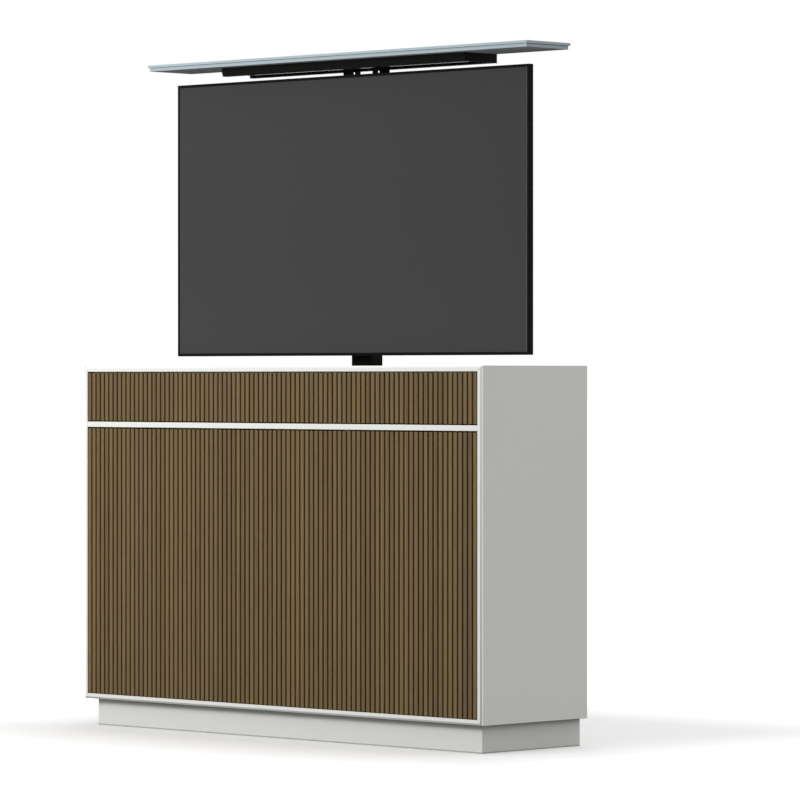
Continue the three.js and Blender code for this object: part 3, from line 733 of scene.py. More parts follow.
def hull(circles, steps=24):
    """The outline round several circles. Each is two coordinates of its centre and a radius."""
    turns = [math.tau * i / steps for i in range(steps)]
    points = [(a + r * math.cos(t), b + r * math.sin(t)) for a, b, r in circles for t in turns]
    return [points[i] for i in convex_hull_2d(points)]


def mark_edges(made, radius):
    """Marks the sharp edges that get a radius, and those that stay sharp."""
    weight = made.edges.layers.float.new("bevel_weight_edge")
    made.normal_update()
    for edge in made.edges:
        if edge.calc_face_angle(0) < SHARP_ANGLE:
            continue
        if radius and edge.calc_length() > SHORTEST_EDGE_SHARE * radius:
            edge[weight] = 1
        else:
            edge.smooth = False
    for face in made.faces:
        face.smooth = True


def weighted(made):
    """Smooth shading that leaves large flat faces flat."""
    for face in made.data.polygons:
        face.use_smooth = True
    made.data.set_sharp_from_angle(angle=CREASE_ANGLE)
    normals = made.modifiers.new("Normals", "WEIGHTED_NORMAL")
    normals.keep_sharp = True
    return settle(made)


def rounded(name, made, radius, steps=EDGE_STEPS):
    """An object from a bmesh, with a radius along its sharp edges."""
    mark_edges(made, radius)
    mesh = bpy.data.meshes.new(name)
    made.to_mesh(mesh)
    made.free()
    target = placed(name, mesh)
    if radius:
        bevel = target.modifiers.new("Edges", "BEVEL")
        bevel.limit_method = "WEIGHT"
        bevel.width = radius
        bevel.segments = steps
        bevel.use_clamp_overlap = False
        settle(target)
    return weighted(target)


def pierced(target, *tools):
    """An object with other objects cut out of it, which are used up."""
    for tool in tools:
        cut = target.modifiers.new("Cut", "BOOLEAN")
        cut.operation = "DIFFERENCE"
        cut.solver = "EXACT"
        cut.object = tool
        settle(target)
        bpy.data.objects.remove(tool)
    return weighted(target)


def dress(made, body, slot, nodes=(), kind=None):
    """Gives a finished mesh its material and the body that it rides on."""
    made.data.materials.clear()
    made.data.materials.append(finish(kind or slot))
    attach(made, body)
    if nodes:
        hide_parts(*nodes)
    return made


def piece(name, made, body, slot, radius=0.0, kind=None):
    """A finished piece from a bmesh, which the construction model doesn't have."""
    return dress(rounded(name, made, radius), body, slot, kind=kind)


def body_of(node):
    """The body that a construction node rides on."""
    return frame["nodes"][node]["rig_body"]


def dressed_as(node, made, kind=None):
    """A finished mesh that stands for a construction node."""
    return dress(made, body_of(node), MATERIAL_SLOTS[node], [node], kind)


def dressed_node(node, radius, steps=EDGE_STEPS, made=None):
    """A construction node's own shape, or one made for it, with rounded edges and its finish."""
    return dressed_as(node, rounded(f"{node}_finish", made or shell(node), radius, steps))


def corners_of(node):
    """The low corner, the high corner and the middle of a construction node."""
    low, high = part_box(node)
    return low, high, (low + high) / 2


def spread(low, high, many):
    """Places at equal distances from one to another."""
    return [low + (high - low) * i / (many - 1) for i in range(many)]


def within(low, high, inset):
    """Two places that lie inside a span."""
    return low + inset, high - inset


def astride(middle, half):
    """Two places on either side of a middle."""
    return middle - half, middle + half


def mirrored(first, step, many):
    """Places at equal steps outwards, on either side of the middle of the cabinet."""
    return [way * (first + step * i) for i in range(many) for way in SIDES.values()]


def grid(xs, y, zs):
    """Points side by side and in rows, in one upright plane."""
    return [(x, y, z) for z in zs for x in xs]


def laid(xs, ys, z):
    """Points in one level plane."""
    return [(x, y, z) for x in xs for y in ys]


class Pattern(Graph):
    """A Geometry Nodes tree with named inputs, for what repeats."""

    def __init__(self, name, inputs):
        tree = bpy.data.node_groups.new(name, "GeometryNodeTree")
        super().__init__(tree)
        for kind, titles in {**inputs, "Material": "Material"}.items():
            for title in titles.split(", "):
                tree.interface.new_socket(title, in_out="INPUT", socket_type=f"NodeSocket{kind}")
        tree.interface.new_socket("Geometry", in_out="OUTPUT", socket_type="NodeSocketGeometry")
        self.entry = self.add("NodeGroupInput")

    def input(self, title):
        """One of the named inputs."""
        return Value(self, self.entry.outputs[title])

    def section(self, width, height, radius):
        """A flat face with rounded corners."""
        size = {"Width": width, "Height": height}
        outline = self.first("GeometryNodeCurvePrimitiveQuadrilateral", {}, size)
        fillet = {"Curve": outline, "Count": 3, "Radius": radius}
        curve = self.first("GeometryNodeFilletCurve", {"mode": "POLY"}, fillet)
        return self.merged(self.first("GeometryNodeFillCurve", {"mode": "NGONS"}, {0: curve}))

    def merged(self, mesh):
        """A mesh whose doubled points are one."""
        return self.first("GeometryNodeMergeByDistance", {}, {"Geometry": mesh, "Distance": WELD})

    def joined(self, *meshes):
        """Several meshes as one."""
        return self.first("GeometryNodeJoinGeometry", {}, {0: list(meshes)})

    def moved(self, mesh, way):
        """A mesh moved by a vector."""
        return self.first("GeometryNodeTransform", {}, {"Geometry": mesh, "Translation": way})

    def raised(self, mesh, rise, top=None, share=1.0):
        """A mesh whose top is pushed up and drawn in to a share of its size, and its new top."""
        sockets = {"Mesh": mesh, "Offset": self.vector(0.0, 0.0, rise), "Individual": False}
        if top is not None:
            sockets["Selection"] = top
        node = self.add("GeometryNodeExtrudeMesh", {"mode": "FACES"}, sockets)
        mesh, top = node.outputs["Mesh"], node.outputs["Top"]
        if share < 1.0:
            sockets = {"Geometry": mesh, "Selection": top, "Scale": share}
            mesh = self.first("GeometryNodeScaleElements", {"domain": "FACE"}, sockets)
        return mesh, top

    def closed(self, base, mesh):
        """A solid from what was raised over a base, and that base turned over."""
        return self.merged(self.joined(self.first("GeometryNodeFlipFaces", {}, {0: base}), mesh))

    def standing(self, points, shape, turn=(0.0, 0.0, 0.0)):
        """A shape on each of these points."""
        sockets = {"Points": points, "Instance": shape, "Rotation": turn}
        return self.first("GeometryNodeInstanceOnPoints", {}, sockets)

    def end(self, geometry):
        """Ends the tree with real geometry in its material."""
        real = self.first("GeometryNodeRealizeInstances", {}, {0: geometry})
        sockets = {"Geometry": real, "Material": self.input("Material")}
        self.add("NodeGroupOutput", {}, {0: self.first("GeometryNodeSetMaterial", {}, sockets)})
        return self

    def made(self, name, points, values):
        """An object whose plain mesh is what the tree makes on these points with these values."""
        mesh = bpy.data.meshes.new(name)
        mesh.from_pydata([tuple(point) for point in points], [], [])
        target = placed(name, mesh)
        modifier = target.modifiers.new("Pattern", "NODES")
        modifier.node_group = self.tree
        for item in self.tree.interface.items_tree:
            if item.in_out == "INPUT" and item.name in values:
                modifier[item.identifier] = values[item.name]
        return settle(target)


def slat_pattern():
    """Slats side by side on their backing, each a closed solid with two rounded front edges."""
    inputs = {"Int": "Count", "Float": "Pitch, Width, Depth, Height, Edge Radius"}
    p = Pattern("Slats", {**inputs, "Vector": "First Slat, Backing Middle, Backing Size"})
    in_front = p.parts(p.first("GeometryNodeInputPosition"))[1] < 0.0
    base = p.section(p.input("Width"), p.input("Depth"), p.input("Edge Radius") * in_front)
    slat = p.closed(base, p.raised(base, p.input("Height"))[0])
    step = p.vector(p.input("Pitch"), 0.0, 0.0)
    line = {"Count": p.input("Count"), "Start Location": p.input("First Slat"), "Offset": step}
    row = p.first("GeometryNodeMeshLine", {"mode": "OFFSET"}, line)
    layer = p.first("GeometryNodeMeshCube", {}, {"Size": p.input("Backing Size")})
    return p.end(p.joined(p.standing(row, slat), p.moved(layer, p.input("Backing Middle"))))


@cache
def screw_pattern():
    """Crowned screw heads with a cross recess, each turned at random about its own axis."""
    inputs = {"Geometry": "Points", "Vector": "Facing", "Float": "Radius, Height", "Int": "Seed"}
    p = Pattern("Screw heads", inputs)
    sides = 16
    tiers = (0.5, 1.0), (0.32, 0.86), (0.18, 0.6)  # rise and width of each tier, as shares
    recess_long, recess_short, recess_depth = 1.1, 0.24, 0.9
    radius, height = p.input("Radius"), p.input("Height")
    circle = {"Vertices": sides, "Radius": radius}
    base = p.first("GeometryNodeMeshCircle", {"fill_type": "NGON"}, circle)
    mesh, top = base, None
    for rise, share in tiers:
        mesh, top = p.raised(mesh, height * rise, top, share)
    bars = []
    for x, y in ((recess_long, recess_short), (recess_short, recess_long)):
        size = p.vector(radius * x, radius * y, height * recess_depth)
        bar = p.first("GeometryNodeMeshCube", {}, {"Size": size})
        bars.append(p.moved(bar, p.vector(0.0, 0.0, height)))
    settings = {"operation": "DIFFERENCE", "solver": "EXACT"}
    head = p.first("GeometryNodeMeshBoolean", settings, {0: p.closed(base, mesh), 1: bars})
    way = {"Vector": p.input("Facing")}
    facing = p.first("FunctionNodeAlignRotationToVector", {"axis": "Z"}, way)
    limits = {3: math.tau, 8: p.input("Seed")}
    chance = p.add("FunctionNodeRandomValue", {"data_type": "FLOAT"}, limits).outputs[1]
    spin = p.first("FunctionNodeAxisAngleToRotation", {}, {"Axis": UP, "Angle": chance})
    both = {"Rotation": facing, "Rotate By": spin}
    turn = p.first("FunctionNodeRotateRotation", {"rotation_space": "LOCAL"}, both)
    return p.end(p.standing(p.input("Points"), head, turn))


@cache
def slot_pattern():
    """Upright slots with round ends, as solids that reach as far before their points as behind."""
    p = Pattern("Slots", {"Geometry": "Points", "Float": "Width, Length, Depth"})
    corner_share = 0.49
    width, depth = p.input("Width"), p.input("Depth")
    section = p.section(width, p.input("Length"), width * corner_share)
    base = p.moved(section, p.vector(0.0, 0.0, depth * -1.0))
    slot = p.closed(base, p.raised(base, depth * 2.0)[0])
    return p.end(p.standing(p.input("Points"), slot, (-math.pi / 2, 0.0, 0.0)))


def thread_pattern():
    """A screw thread along an upright cylinder, whose radius follows the height and the angle."""
    inputs = {"Float": "Length, Root, Crest, Lead, Starts", "Int": "Rows", "Vector": "Middle"}
    p = Pattern("Thread", inputs)
    sides, steepness, flat = 32, 4.0, 0.5
    rows, reach = p.input("Rows"), p.input("Length")
    size = {"Vertices": sides, "Side Segments": rows, "Radius": 1.0, "Depth": reach}
    tube = p.first("GeometryNodeMeshCylinder", {"fill_type": "NGON"}, size)
    x, y, z = p.parts(p.first("GeometryNodeInputPosition"))
    turns = z / p.input("Lead") + y.math("ARCTAN2", x) / math.tau
    ramp = ((turns * p.input("Starts")).math("FRACT") - 0.5) * steepness
    share = (ramp.math("ABSOLUTE") - flat).math("MINIMUM", 1.0).math("MAXIMUM", 0.0)
    radius = p.input("Root") + (p.input("Crest") - p.input("Root")) * share
    shaped = {"Geometry": tube, "Position": p.vector(x * radius, y * radius, z)}
    return p.end(p.moved(p.first("GeometryNodeSetPosition", {}, shaped), p.input("Middle")))


def screws(name, body, head, points, facing, slot="bright_steel"):
    """A set of screw heads of one kind that face one way."""
    radius, height = HEADS[head]
    values = {"Facing": facing, "Radius": radius, "Height": height, "Seed": len(name)}
    made = screw_pattern().made(name, points, {**values, "Material": finish(slot)})
    return dress(weighted(made), body, slot)


def slots(points, width, long_side, depth):
    """A tool that cuts upright slots into a face that looks forwards or backwards."""
    values = {"Width": width, "Length": long_side, "Depth": depth}
    return slot_pattern().made("slots", points, values)


class CABINET_OT_camera(Operator):
    """Sets up the camera of the reference view"""

    bl_idname = "cabinet.camera"
    bl_label = "Camera"

    def execute(self, context):
        stage = context.scene.cabinet_stage
        camera = placed("camera", bpy.data.cameras.new("camera"))
        camera.data.sensor_width = SENSOR_WIDTH
        camera.data.lens = SENSOR_WIDTH * stage.focal_pixels / PICTURE_WIDTH
        camera.data.clip_end = FAR_CLIP
        yaw, dip = stage.camera_yaw, stage.camera_dip
        across, along = -math.sin(yaw) * math.cos(dip), math.cos(yaw) * math.cos(dip)
        ahead = Vector((across, along, -math.sin(dip)))
        camera.location = stage.camera_place
        camera.rotation_mode = "QUATERNION"
        camera.rotation_quaternion = ahead.to_track_quat("-Z", "Y")
        context.scene.camera = camera
        return {"FINISHED"}


class CABINET_OT_case(Operator):
    """Builds the lacquered boards of the case and its plinth"""

    bl_idname = "cabinet.case"
    bl_label = "Case"

    def execute(self, context):
        for node, slot in MATERIAL_SLOTS.items():
            if slot == "white_board" and node not in BACK_PANELS:
                dressed_node(node, context.scene.cabinet_sizes.board_edge)
        return {"FINISHED"}


class CABINET_OT_back(Operator):
    """Builds the two back panels and their screws"""

    bl_idname = "cabinet.back"
    bl_label = "Back"

    def execute(self, context):
        inset, across = 14 * MM, 6
        for node in BACK_PANELS:
            dressed_node(node, context.scene.cabinet_sizes.board_edge)
            low, high, middle = corners_of(node)
            ends = within(low.x, high.x, inset)
            points = grid(spread(*ends, across), high.y, within(low.z, high.z, inset))
            points += grid(ends, high.y, (middle.z,))
            screws(f"{node}_screws", body_of(node), "panel", points, BACK)
        return {"FINISHED"}


def flap_bore(side, way):
    """A tool that cuts the hole for one of the flap's pins, open at the flap's end."""
    free, past = 0.3 * MM, 5 * MM
    low, high, middle = corners_of(f"flap_pivot_{side}")
    start = low.x - (past if way < 0 else free)
    stop = high.x + (past if way > 0 else free)
    profile = rod((high.y - low.y) / 2 + free, 0, stop - start)
    return rounded("bore", turned(profile, (start, middle.y, middle.z), RIGHT), 0)


class CABINET_OT_slats(Operator):
    """Builds the slatted faces of the flap and the doors"""

    bl_idname = "cabinet.slats"
    bl_label = "Slats"

    def execute(self, context):
        sizes = context.scene.cabinet_sizes
        pattern = slat_pattern()
        pitch, depth = slat_pitch(sizes), sizes.slat_depth
        for node in ("flap_slats", "door_left_slats", "door_centre_slats", "door_right_slats"):
            low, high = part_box(node)
            first, last = (math.floor((end.x - INNER_LOW.x) / pitch + 0.5) for end in (low, high))
            backing_low = Vector((low.x, low.y + depth, low.z))
            values = {
                "Count": last - first,
                "Pitch": pitch,
                "Width": pitch - sizes.groove,
                "Depth": depth,
                "Height": high.z - low.z,
                "Edge Radius": sizes.slat_edge,
                "First Slat": (INNER_LOW.x + (first + 0.5) * pitch, low.y + depth / 2, low.z),
                "Backing Middle": (backing_low + high) / 2,
                "Backing Size": high - backing_low,
                "Material": finish("walnut_slats"),
            }
            made = weighted(pattern.made(f"{node}_finish", (), values))
            if node == "flap_slats":
                pierced(made, *(flap_bore(side, way) for side, way in SIDES.items()))
            dressed_as(node, made)
        return {"FINISHED"}


class CABINET_OT_fronts(Operator):
    """Builds the veneered boards behind the slats"""

    bl_idname = "cabinet.fronts"
    bl_label = "Fronts"

    def execute(self, context):
        for front in ("flap", "door_left", "door_centre", "door_right"):
            dressed_node(f"{front}_board", context.scene.cabinet_sizes.veneer_edge)
        return {"FINISHED"}


def hinge_cup(side, level, inward):
    """A pressed cup in a door, with the flange that holds it and the flange's two screws."""
    node = f"hinge_cup_{side}_{level}"
    wall, flange, rim, soft, sides = 1.5 * MM, 1.2 * MM, 2 * MM, 0.3 * MM, 48
    ear_out, ear_apart, ear_radius = 9.5 * MM, 26 * MM, 6 * MM
    low, high, middle = corners_of(node)
    radius, depth = (high.x - low.x) / 2, high.y - low.y
    mouth = radius - wall
    profile = [(0, 0), (0, mouth), (wall, radius), (depth, radius), (depth, mouth)]
    profile += [(2 * wall, mouth), (wall, mouth - wall), (wall, 0)]
    dish = turned(profile, (middle.x, low.y, middle.z), BACK, sides)
    dressed_node(node, 0, made=dish)
    ears = [(middle.x + inward * ear_out, z) for z in astride(middle.z, ear_apart)]
    outline = hull([(middle.x, middle.z, radius + rim)] + [(*ear, ear_radius) for ear in ears])
    blank = pushed(outline, 1, high.y, high.y + flange)
    sheet = rounded(f"hinge_flange_{side}_{level}", blank, soft)
    hole = turned(rod(mouth, -rim, rim), (middle.x, high.y, middle.z), BACK, sides)
    dress(pierced(sheet, rounded("mouth", hole, 0)), body_of(node), "bright_steel")
    points = [(x, high.y + flange, z) for x, z in ears]
    screws(f"hinge_flange_screws_{side}_{level}", body_of(node), "hinge flange", points, BACK)


def hinge_arm(side, level, inward, edge):
    """An arm on its plate, with the plate's screws and the arm's setting screws."""
    node = f"hinge_arm_{side}_{level}"
    plate, arm, plate_half, apart = 6 * MM, 9 * MM, 25 * MM, 15 * MM
    settings = (13 * MM, 30 * MM, 50 * MM)
    low, high, middle = corners_of(node)
    dressed_node(node, edge)
    face, facing = (low.x if inward > 0 else high.x) + inward * plate, (inward, 0, 0)
    points = [(face, high.y - plate_half, z) for z in astride(middle.z, apart)]
    screws(f"hinge_plate_screws_{side}_{level}", body_of(node), "hinge plate", points, facing)
    points = [(face + inward * arm, low.y + setting, middle.z) for setting in settings]
    screws(f"hinge_arm_screws_{side}_{level}", body_of(node), "hinge arm", points, facing)


class CABINET_OT_hinges(Operator):
    """Builds the concealed hinges of the doors"""

    bl_idname = "cabinet.hinges"
    bl_label = "Hinges"

    def execute(self, context):
        for side, inward in DOORS.items():
            for level in LEVELS:
                hinge_cup(side, level, inward)
                hinge_arm(side, level, inward, 2 * context.scene.cabinet_sizes.steel_edge)
        return {"FINISHED"}


def plunger(name, board, collar=()):
    """A latch's round-tipped plunger and its guide on a board. A collar is a stretch of profile."""
    node = f"latch_plunger_{name}"
    dome, steps, soft, sides = 1.2 * MM, 6, 0.3 * MM, 24
    guide_radius, guide_height = 4.6 * MM, 0.8 * MM
    low, high, middle = corners_of(node)
    reach, radius = high.y - low.y, PLUNGER_RADIUS
    turns = [math.pi / 2 * i / steps for i in range(steps + 1)]
    profile = [(dome * (1 - math.cos(t)), radius * math.sin(t)) for t in turns]
    profile += [*collar, (reach - soft, radius), (reach, radius - soft), (reach, 0)]
    dressed_node(node, 0, made=turned(profile, (middle.x, low.y, middle.z), BACK, sides))
    guide = ring(radius + soft, guide_radius, guide_height, (middle.x, board.y, middle.z), FRONT)
    piece(f"latch_guide_{name}", guide, "carcass", "grey_plastic")


class CABINET_OT_latches(Operator):
    """Builds the push latches, the flap's pins and the bushes round them"""

    bl_idname = "cabinet.latches"
    bl_label = "Pins and latches"

    def execute(self, context):
        seat, collar, collar_radius = 0.3 * MM, 2 * MM, 5 * MM
        bush_share, bush_height = 1.8, 1.2 * MM
        for side in DOORS:
            plunger(side, DIVIDER_LOW)
        start = RAIL_HIGH.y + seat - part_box("latch_plunger_flap")[0].y
        inner, outer = PLUNGER_RADIUS, collar_radius
        stop = start + collar
        plunger("flap", RAIL_LOW, [(start, inner), (start, outer), (stop, outer), (stop, inner)])
        for side, way in SIDES.items():
            node = f"flap_pivot_{side}"
            dressed_node(node, context.scene.cabinet_sizes.steel_edge)
            low, high, middle = corners_of(node)
            radius = (high.y - low.y) / 2
            face = (way * OPENING_HIGH.x, middle.y, middle.z)
            bush = ring(radius + seat / 2, bush_share * radius, bush_height, face, (-way, 0, 0))
            piece(f"flap_bush_{side}", bush, "carcass", "grey_plastic")
        return {"FINISHED"}


def toothed(teeth, root, crest, middle):
    """A gear's outline, each tooth a fifth of its pitch wide at the crest and half at the root."""
    made = []
    for tooth in range(teeth):
        for share, radius in ((0, root), (0.25, root), (0.4, crest), (0.6, crest), (0.75, root)):
            turn = math.tau * (tooth + share) / teeth
            made.append((middle.x + radius * math.cos(turn), middle.y + radius * math.sin(turn)))
    return made


def drive_screw(sizes):
    """The lifting screw: a journal, a gear and a thread of several starts."""
    node = "drive_screw"
    root, crest, row_height, gear_root, teeth = 5.9 * MM, 7 * MM, 1.25 * MM, 9.4 * MM, 22
    low, high, foot = corners_of(node)
    foot.z = low.z
    gear_low, gear_high = low.z + GEAR_RISE, low.z + GEAR_RISE + GEAR_HEIGHT
    journal = turned(rod(root, 0, GEAR_RISE), foot, UP)
    gear = pushed(toothed(teeth, gear_root, (high.x - low.x) / 2, foot), 2, gear_low, gear_high)
    piece("drive_gear", together(journal, gear), body_of(node), "bright_steel")
    reach = high.z - gear_high
    values = {
        "Length": reach,
        "Root": root,
        "Crest": crest,
        "Lead": sizes.thread_lead,
        "Starts": float(sizes.thread_starts),
        "Rows": round(reach / row_height),
        "Middle": (foot.x, foot.y, gear_high + reach / 2),
        "Material": finish("bright_steel"),
    }
    dressed_as(node, weighted(thread_pattern().made(f"{node}_finish", (), values)))


def gearbox(body, low, high):
    """The housing of the gears, with its cover and the cover's screws."""
    edge, inset, cover, cover_edge, screw_inset = 3 * MM, 6 * MM, 2 * MM, 0.8 * MM, 12 * MM
    dressed_node("motor_gearbox", edge, SOFT_EDGE_STEPS, block(low, high))
    (left, right), (foot, top) = within(low.x, high.x, inset), within(low.z, high.z, inset)
    sheet = block((left, low.y - cover, foot), (right, low.y, top))
    piece("gearbox_cover", sheet, body, "black_steel", cover_edge)
    columns, rows = within(low.x, high.x, screw_inset), within(low.z, high.z, screw_inset)
    screws("gearbox_cover_screws", body, "panel", grid(columns, low.y - cover, rows), FRONT)


def motor():
    """The gearbox, the ribbed motor on its side, the stub to the screw and a cable gland."""
    body, (low, high) = body_of("motor_gearbox"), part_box("motor_gearbox")
    housing = Vector((-low.x, low.y + GEARBOX_DEPTH, high.z))
    gearbox(body, low, housing)
    radius, drop, sides = 29 * MM, 0.3 * MM, 48
    waist_share, crest_share, flange, cap, soft = 0.93, 0.985, 5 * MM, 16 * MM, 3 * MM
    waist, crest = waist_share * radius, crest_share * radius
    first_rib, rib_pitch, ribs, slope, rib_top = 11 * MM, 7.5 * MM, 14, 0.8 * MM, 3.2 * MM
    reach = high.x - housing.x
    profile = [(0, 0), (0, radius), (flange, radius), (flange, waist)]
    for start in (first_rib + rib_pitch * i for i in range(ribs)):
        top = start + slope
        end = top + rib_top
        profile += [(start, waist), (top, crest), (end, crest), (end + slope, waist)]
    profile += [(reach - cap, waist), (reach - cap, radius), (reach - soft, radius)]
    profile += [(reach, radius - soft), (reach, 0)]
    middle = Vector((housing.x, (low.y + housing.y) / 2, low.z + radius + drop))
    piece("lift_motor", turned(profile, middle, RIGHT, sides), body, "black_steel")
    nut, neck, tip, nut_top, tip_top, gland_sides = 8 * MM, 6 * MM, 5 * MM, 4 * MM, 12 * MM, 24
    gland = [(0, 0), (0, nut), (nut_top, nut), (nut_top, neck), (tip_top, tip), (tip_top, 0)]
    seat = middle + Vector((reach - cap / 2, 0, radius - drop))
    piece("motor_gland", turned(gland, seat, UP, gland_sides), body, "black_plastic")
    stub_radius = 9 * MM
    gear_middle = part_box("drive_screw")[0].z + GEAR_RISE + GEAR_HEIGHT / 2
    stub = turned(rod(stub_radius, 0, high.y - housing.y), (0, housing.y, gear_middle), BACK)
    piece("drive_stub", stub, body, "bright_steel")


class CABINET_OT_lift(Operator):
    """Builds the fixed column, the lifting screw with its motor, and the sliding mast"""

    bl_idname = "cabinet.lift"
    bl_label = "Lift"

    def execute(self, context):
        sizes = context.scene.cabinet_sizes
        foot_inset, across, along = 15 * MM, 30 * MM, 13 * MM
        dressed_node("base_column", sizes.steel_edge)
        drive_screw(sizes)
        motor()
        dressed_node("mast", sizes.steel_edge)
        low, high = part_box("base_column")
        foot_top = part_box("motor_gearbox")[0].z
        xs, ys = within(low.x, high.x, foot_inset), within(low.y, high.y, foot_inset)
        screws("foot_screws", "carcass", "bolt", laid(xs, ys, foot_top), UP)
        high, middle = corners_of("mast")[1:]
        points = laid(astride(0, across), astride(middle.y, along), high.z)
        screws("mast_cap_screws", body_of("mast"), "cap", points, UP)
        return {"FINISHED"}


class CABINET_OT_carriage(Operator):
    """Builds the two channels, the plate that holds the television and the frame under the lid"""

    bl_idname = "cabinet.carriage"
    bl_label = "Carriage"

    def execute(self, context):
        edge = context.scene.cabinet_sizes.steel_edge
        for node in ("channel_left", "lid_frame_left", "channel_right", "lid_frame_right"):
            dressed_node(node, edge)
        dressed_node("lid_frame_front", edge)
        dressed_node("lid_frame_bridge", edge)
        node, row_inset, rows, slots_across = "tv_mount_plate", 60 * MM, 5, 4
        first_slot, slot_step = 95 * MM, 25 * MM
        slot_width, slot_length, slot_depth = 9 * MM, 46 * MM, 6 * MM
        low, high, middle = corners_of(node)
        plate = rounded(f"{node}_finish", block(low, high), edge)
        columns = mirrored(first_slot, slot_step, slots_across)
        places = grid(columns, middle.y, spread(*within(low.z, high.z, row_inset), rows))
        dressed_as(node, pierced(plate, slots(places, slot_width, slot_length, slot_depth)))
        body, pattern_half, margin = body_of(node), 150 * MM, 20 * MM
        points = grid(within(low.x, high.x, margin), high.y, astride(middle.z, pattern_half))
        screws("tv_bolts", body, "bolt", points, BACK)
        flange_middle, web = 12.5 * MM, 2.5 * MM
        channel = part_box("channel_right")[0]
        xs = [way * (channel.x + flange_middle) for way in SIDES.values()]
        points = grid(xs, channel.y + web, (low.z + 2 * margin, middle.z, high.z - 2 * margin))
        screws("channel_bolts", body, "channel bolt", points, BACK)
        return {"FINISHED"}


class CABINET_OT_lid(Operator):
    """Builds the lid and the grey sheet under it, which is painted shade"""

    bl_idname = "cabinet.lid"
    bl_label = "Lid"

    def execute(self, context):
        sheet, near = 1 * MM, 0.1 * MM
        board = shell("lid_board")
        under = [vert for vert in board.verts if vert.co.z < LID_LOW.z + near]
        corners = [[pick(vert.co[i] for vert in under) for i in range(2)] for pick in (min, max)]
        for vert in under:
            vert.co.z += sheet
        dressed_node("lid_board", context.scene.cabinet_sizes.board_edge, made=board)
        backing = block((*corners[0], LID_LOW.z), (*corners[1], LID_LOW.z + sheet))
        piece("lid_backing", backing, body_of("lid_board"), "lid_board", kind="lid_backing")
        return {"FINISHED"}


def bar(x, z, width, height, front, back):
    """A box from its middle seen from behind, its width and height, and its two ends."""
    return block((x - width / 2, front, z - height / 2), (x + width / 2, back, z + height / 2))


def rear_sockets(bottom):
    """The places of the rear sockets: middle across, middle upright, width and height of each."""
    left, right, rises, tall_rise = 300 * MM, 332 * MM, (150 * MM, 130 * MM, 110 * MM), 106 * MM
    wide, low, narrow, higher, tall = 15 * MM, 5 * MM, 13 * MM, 6 * MM, 12 * MM
    made = [(left, bottom + rise, wide, low) for rise in rises]
    made += [(right, bottom + rise, narrow, higher) for rise in rises[:2]]
    return made + [(right, bottom + tall_rise, narrow, tall)]


def socket_fittings(body, sockets, inlet, aerial, floor, socket_depth):
    """What stands in the sockets: tongues, contacts, an aerial's barrel and the inlet's pins."""
    tongue, contact = 0.9 * MM, 0.45 * MM
    tongue_share, contact_share = 0.72, 0.576  # widths as shares of a socket's
    behind = floor - socket_depth
    tongues = [bar(x, z, tongue_share * w, tongue, behind, floor - MM) for x, z, w, _ in sockets]
    piece("tv_socket_tongues", together(*tongues), body, "black_plastic")
    contacts = [
        bar(x, z + (tongue + contact) / 2, contact_share * w, contact, behind, floor - 2 * MM)
        for x, z, w, _ in sockets
    ]
    piece("tv_socket_contacts", together(*contacts), body, "bright_steel", kind="contact")
    bore, barrel, washer, sides, edge = 2 * MM, 4.8 * MM, 7.5 * MM, 24, 0.2 * MM
    barrel_height, washer_height, free = 9 * MM, 1.2 * MM, 0.1 * MM
    coax = ring(bore, barrel, barrel_height, aerial, BACK, sides)
    nut = ring(barrel + free, washer, washer_height, aerial, BACK, sides)
    piece("tv_aerial_socket", together(coax, nut), body, "bright_steel", edge)
    pin_places = ((-6, -1.75), (6, -1.75), (0, 3.25))
    pin_width, pin_height, pin_length = 2 * MM, 2.5 * MM, 8 * MM
    pins = [
        bar(inlet[0] + x * MM, inlet[1] + z * MM, pin_width, pin_height, floor, floor + pin_length)
        for x, z in pin_places
    ]
    piece("tv_inlet_pins", together(*pins), body, "bright_steel", kind="contact")


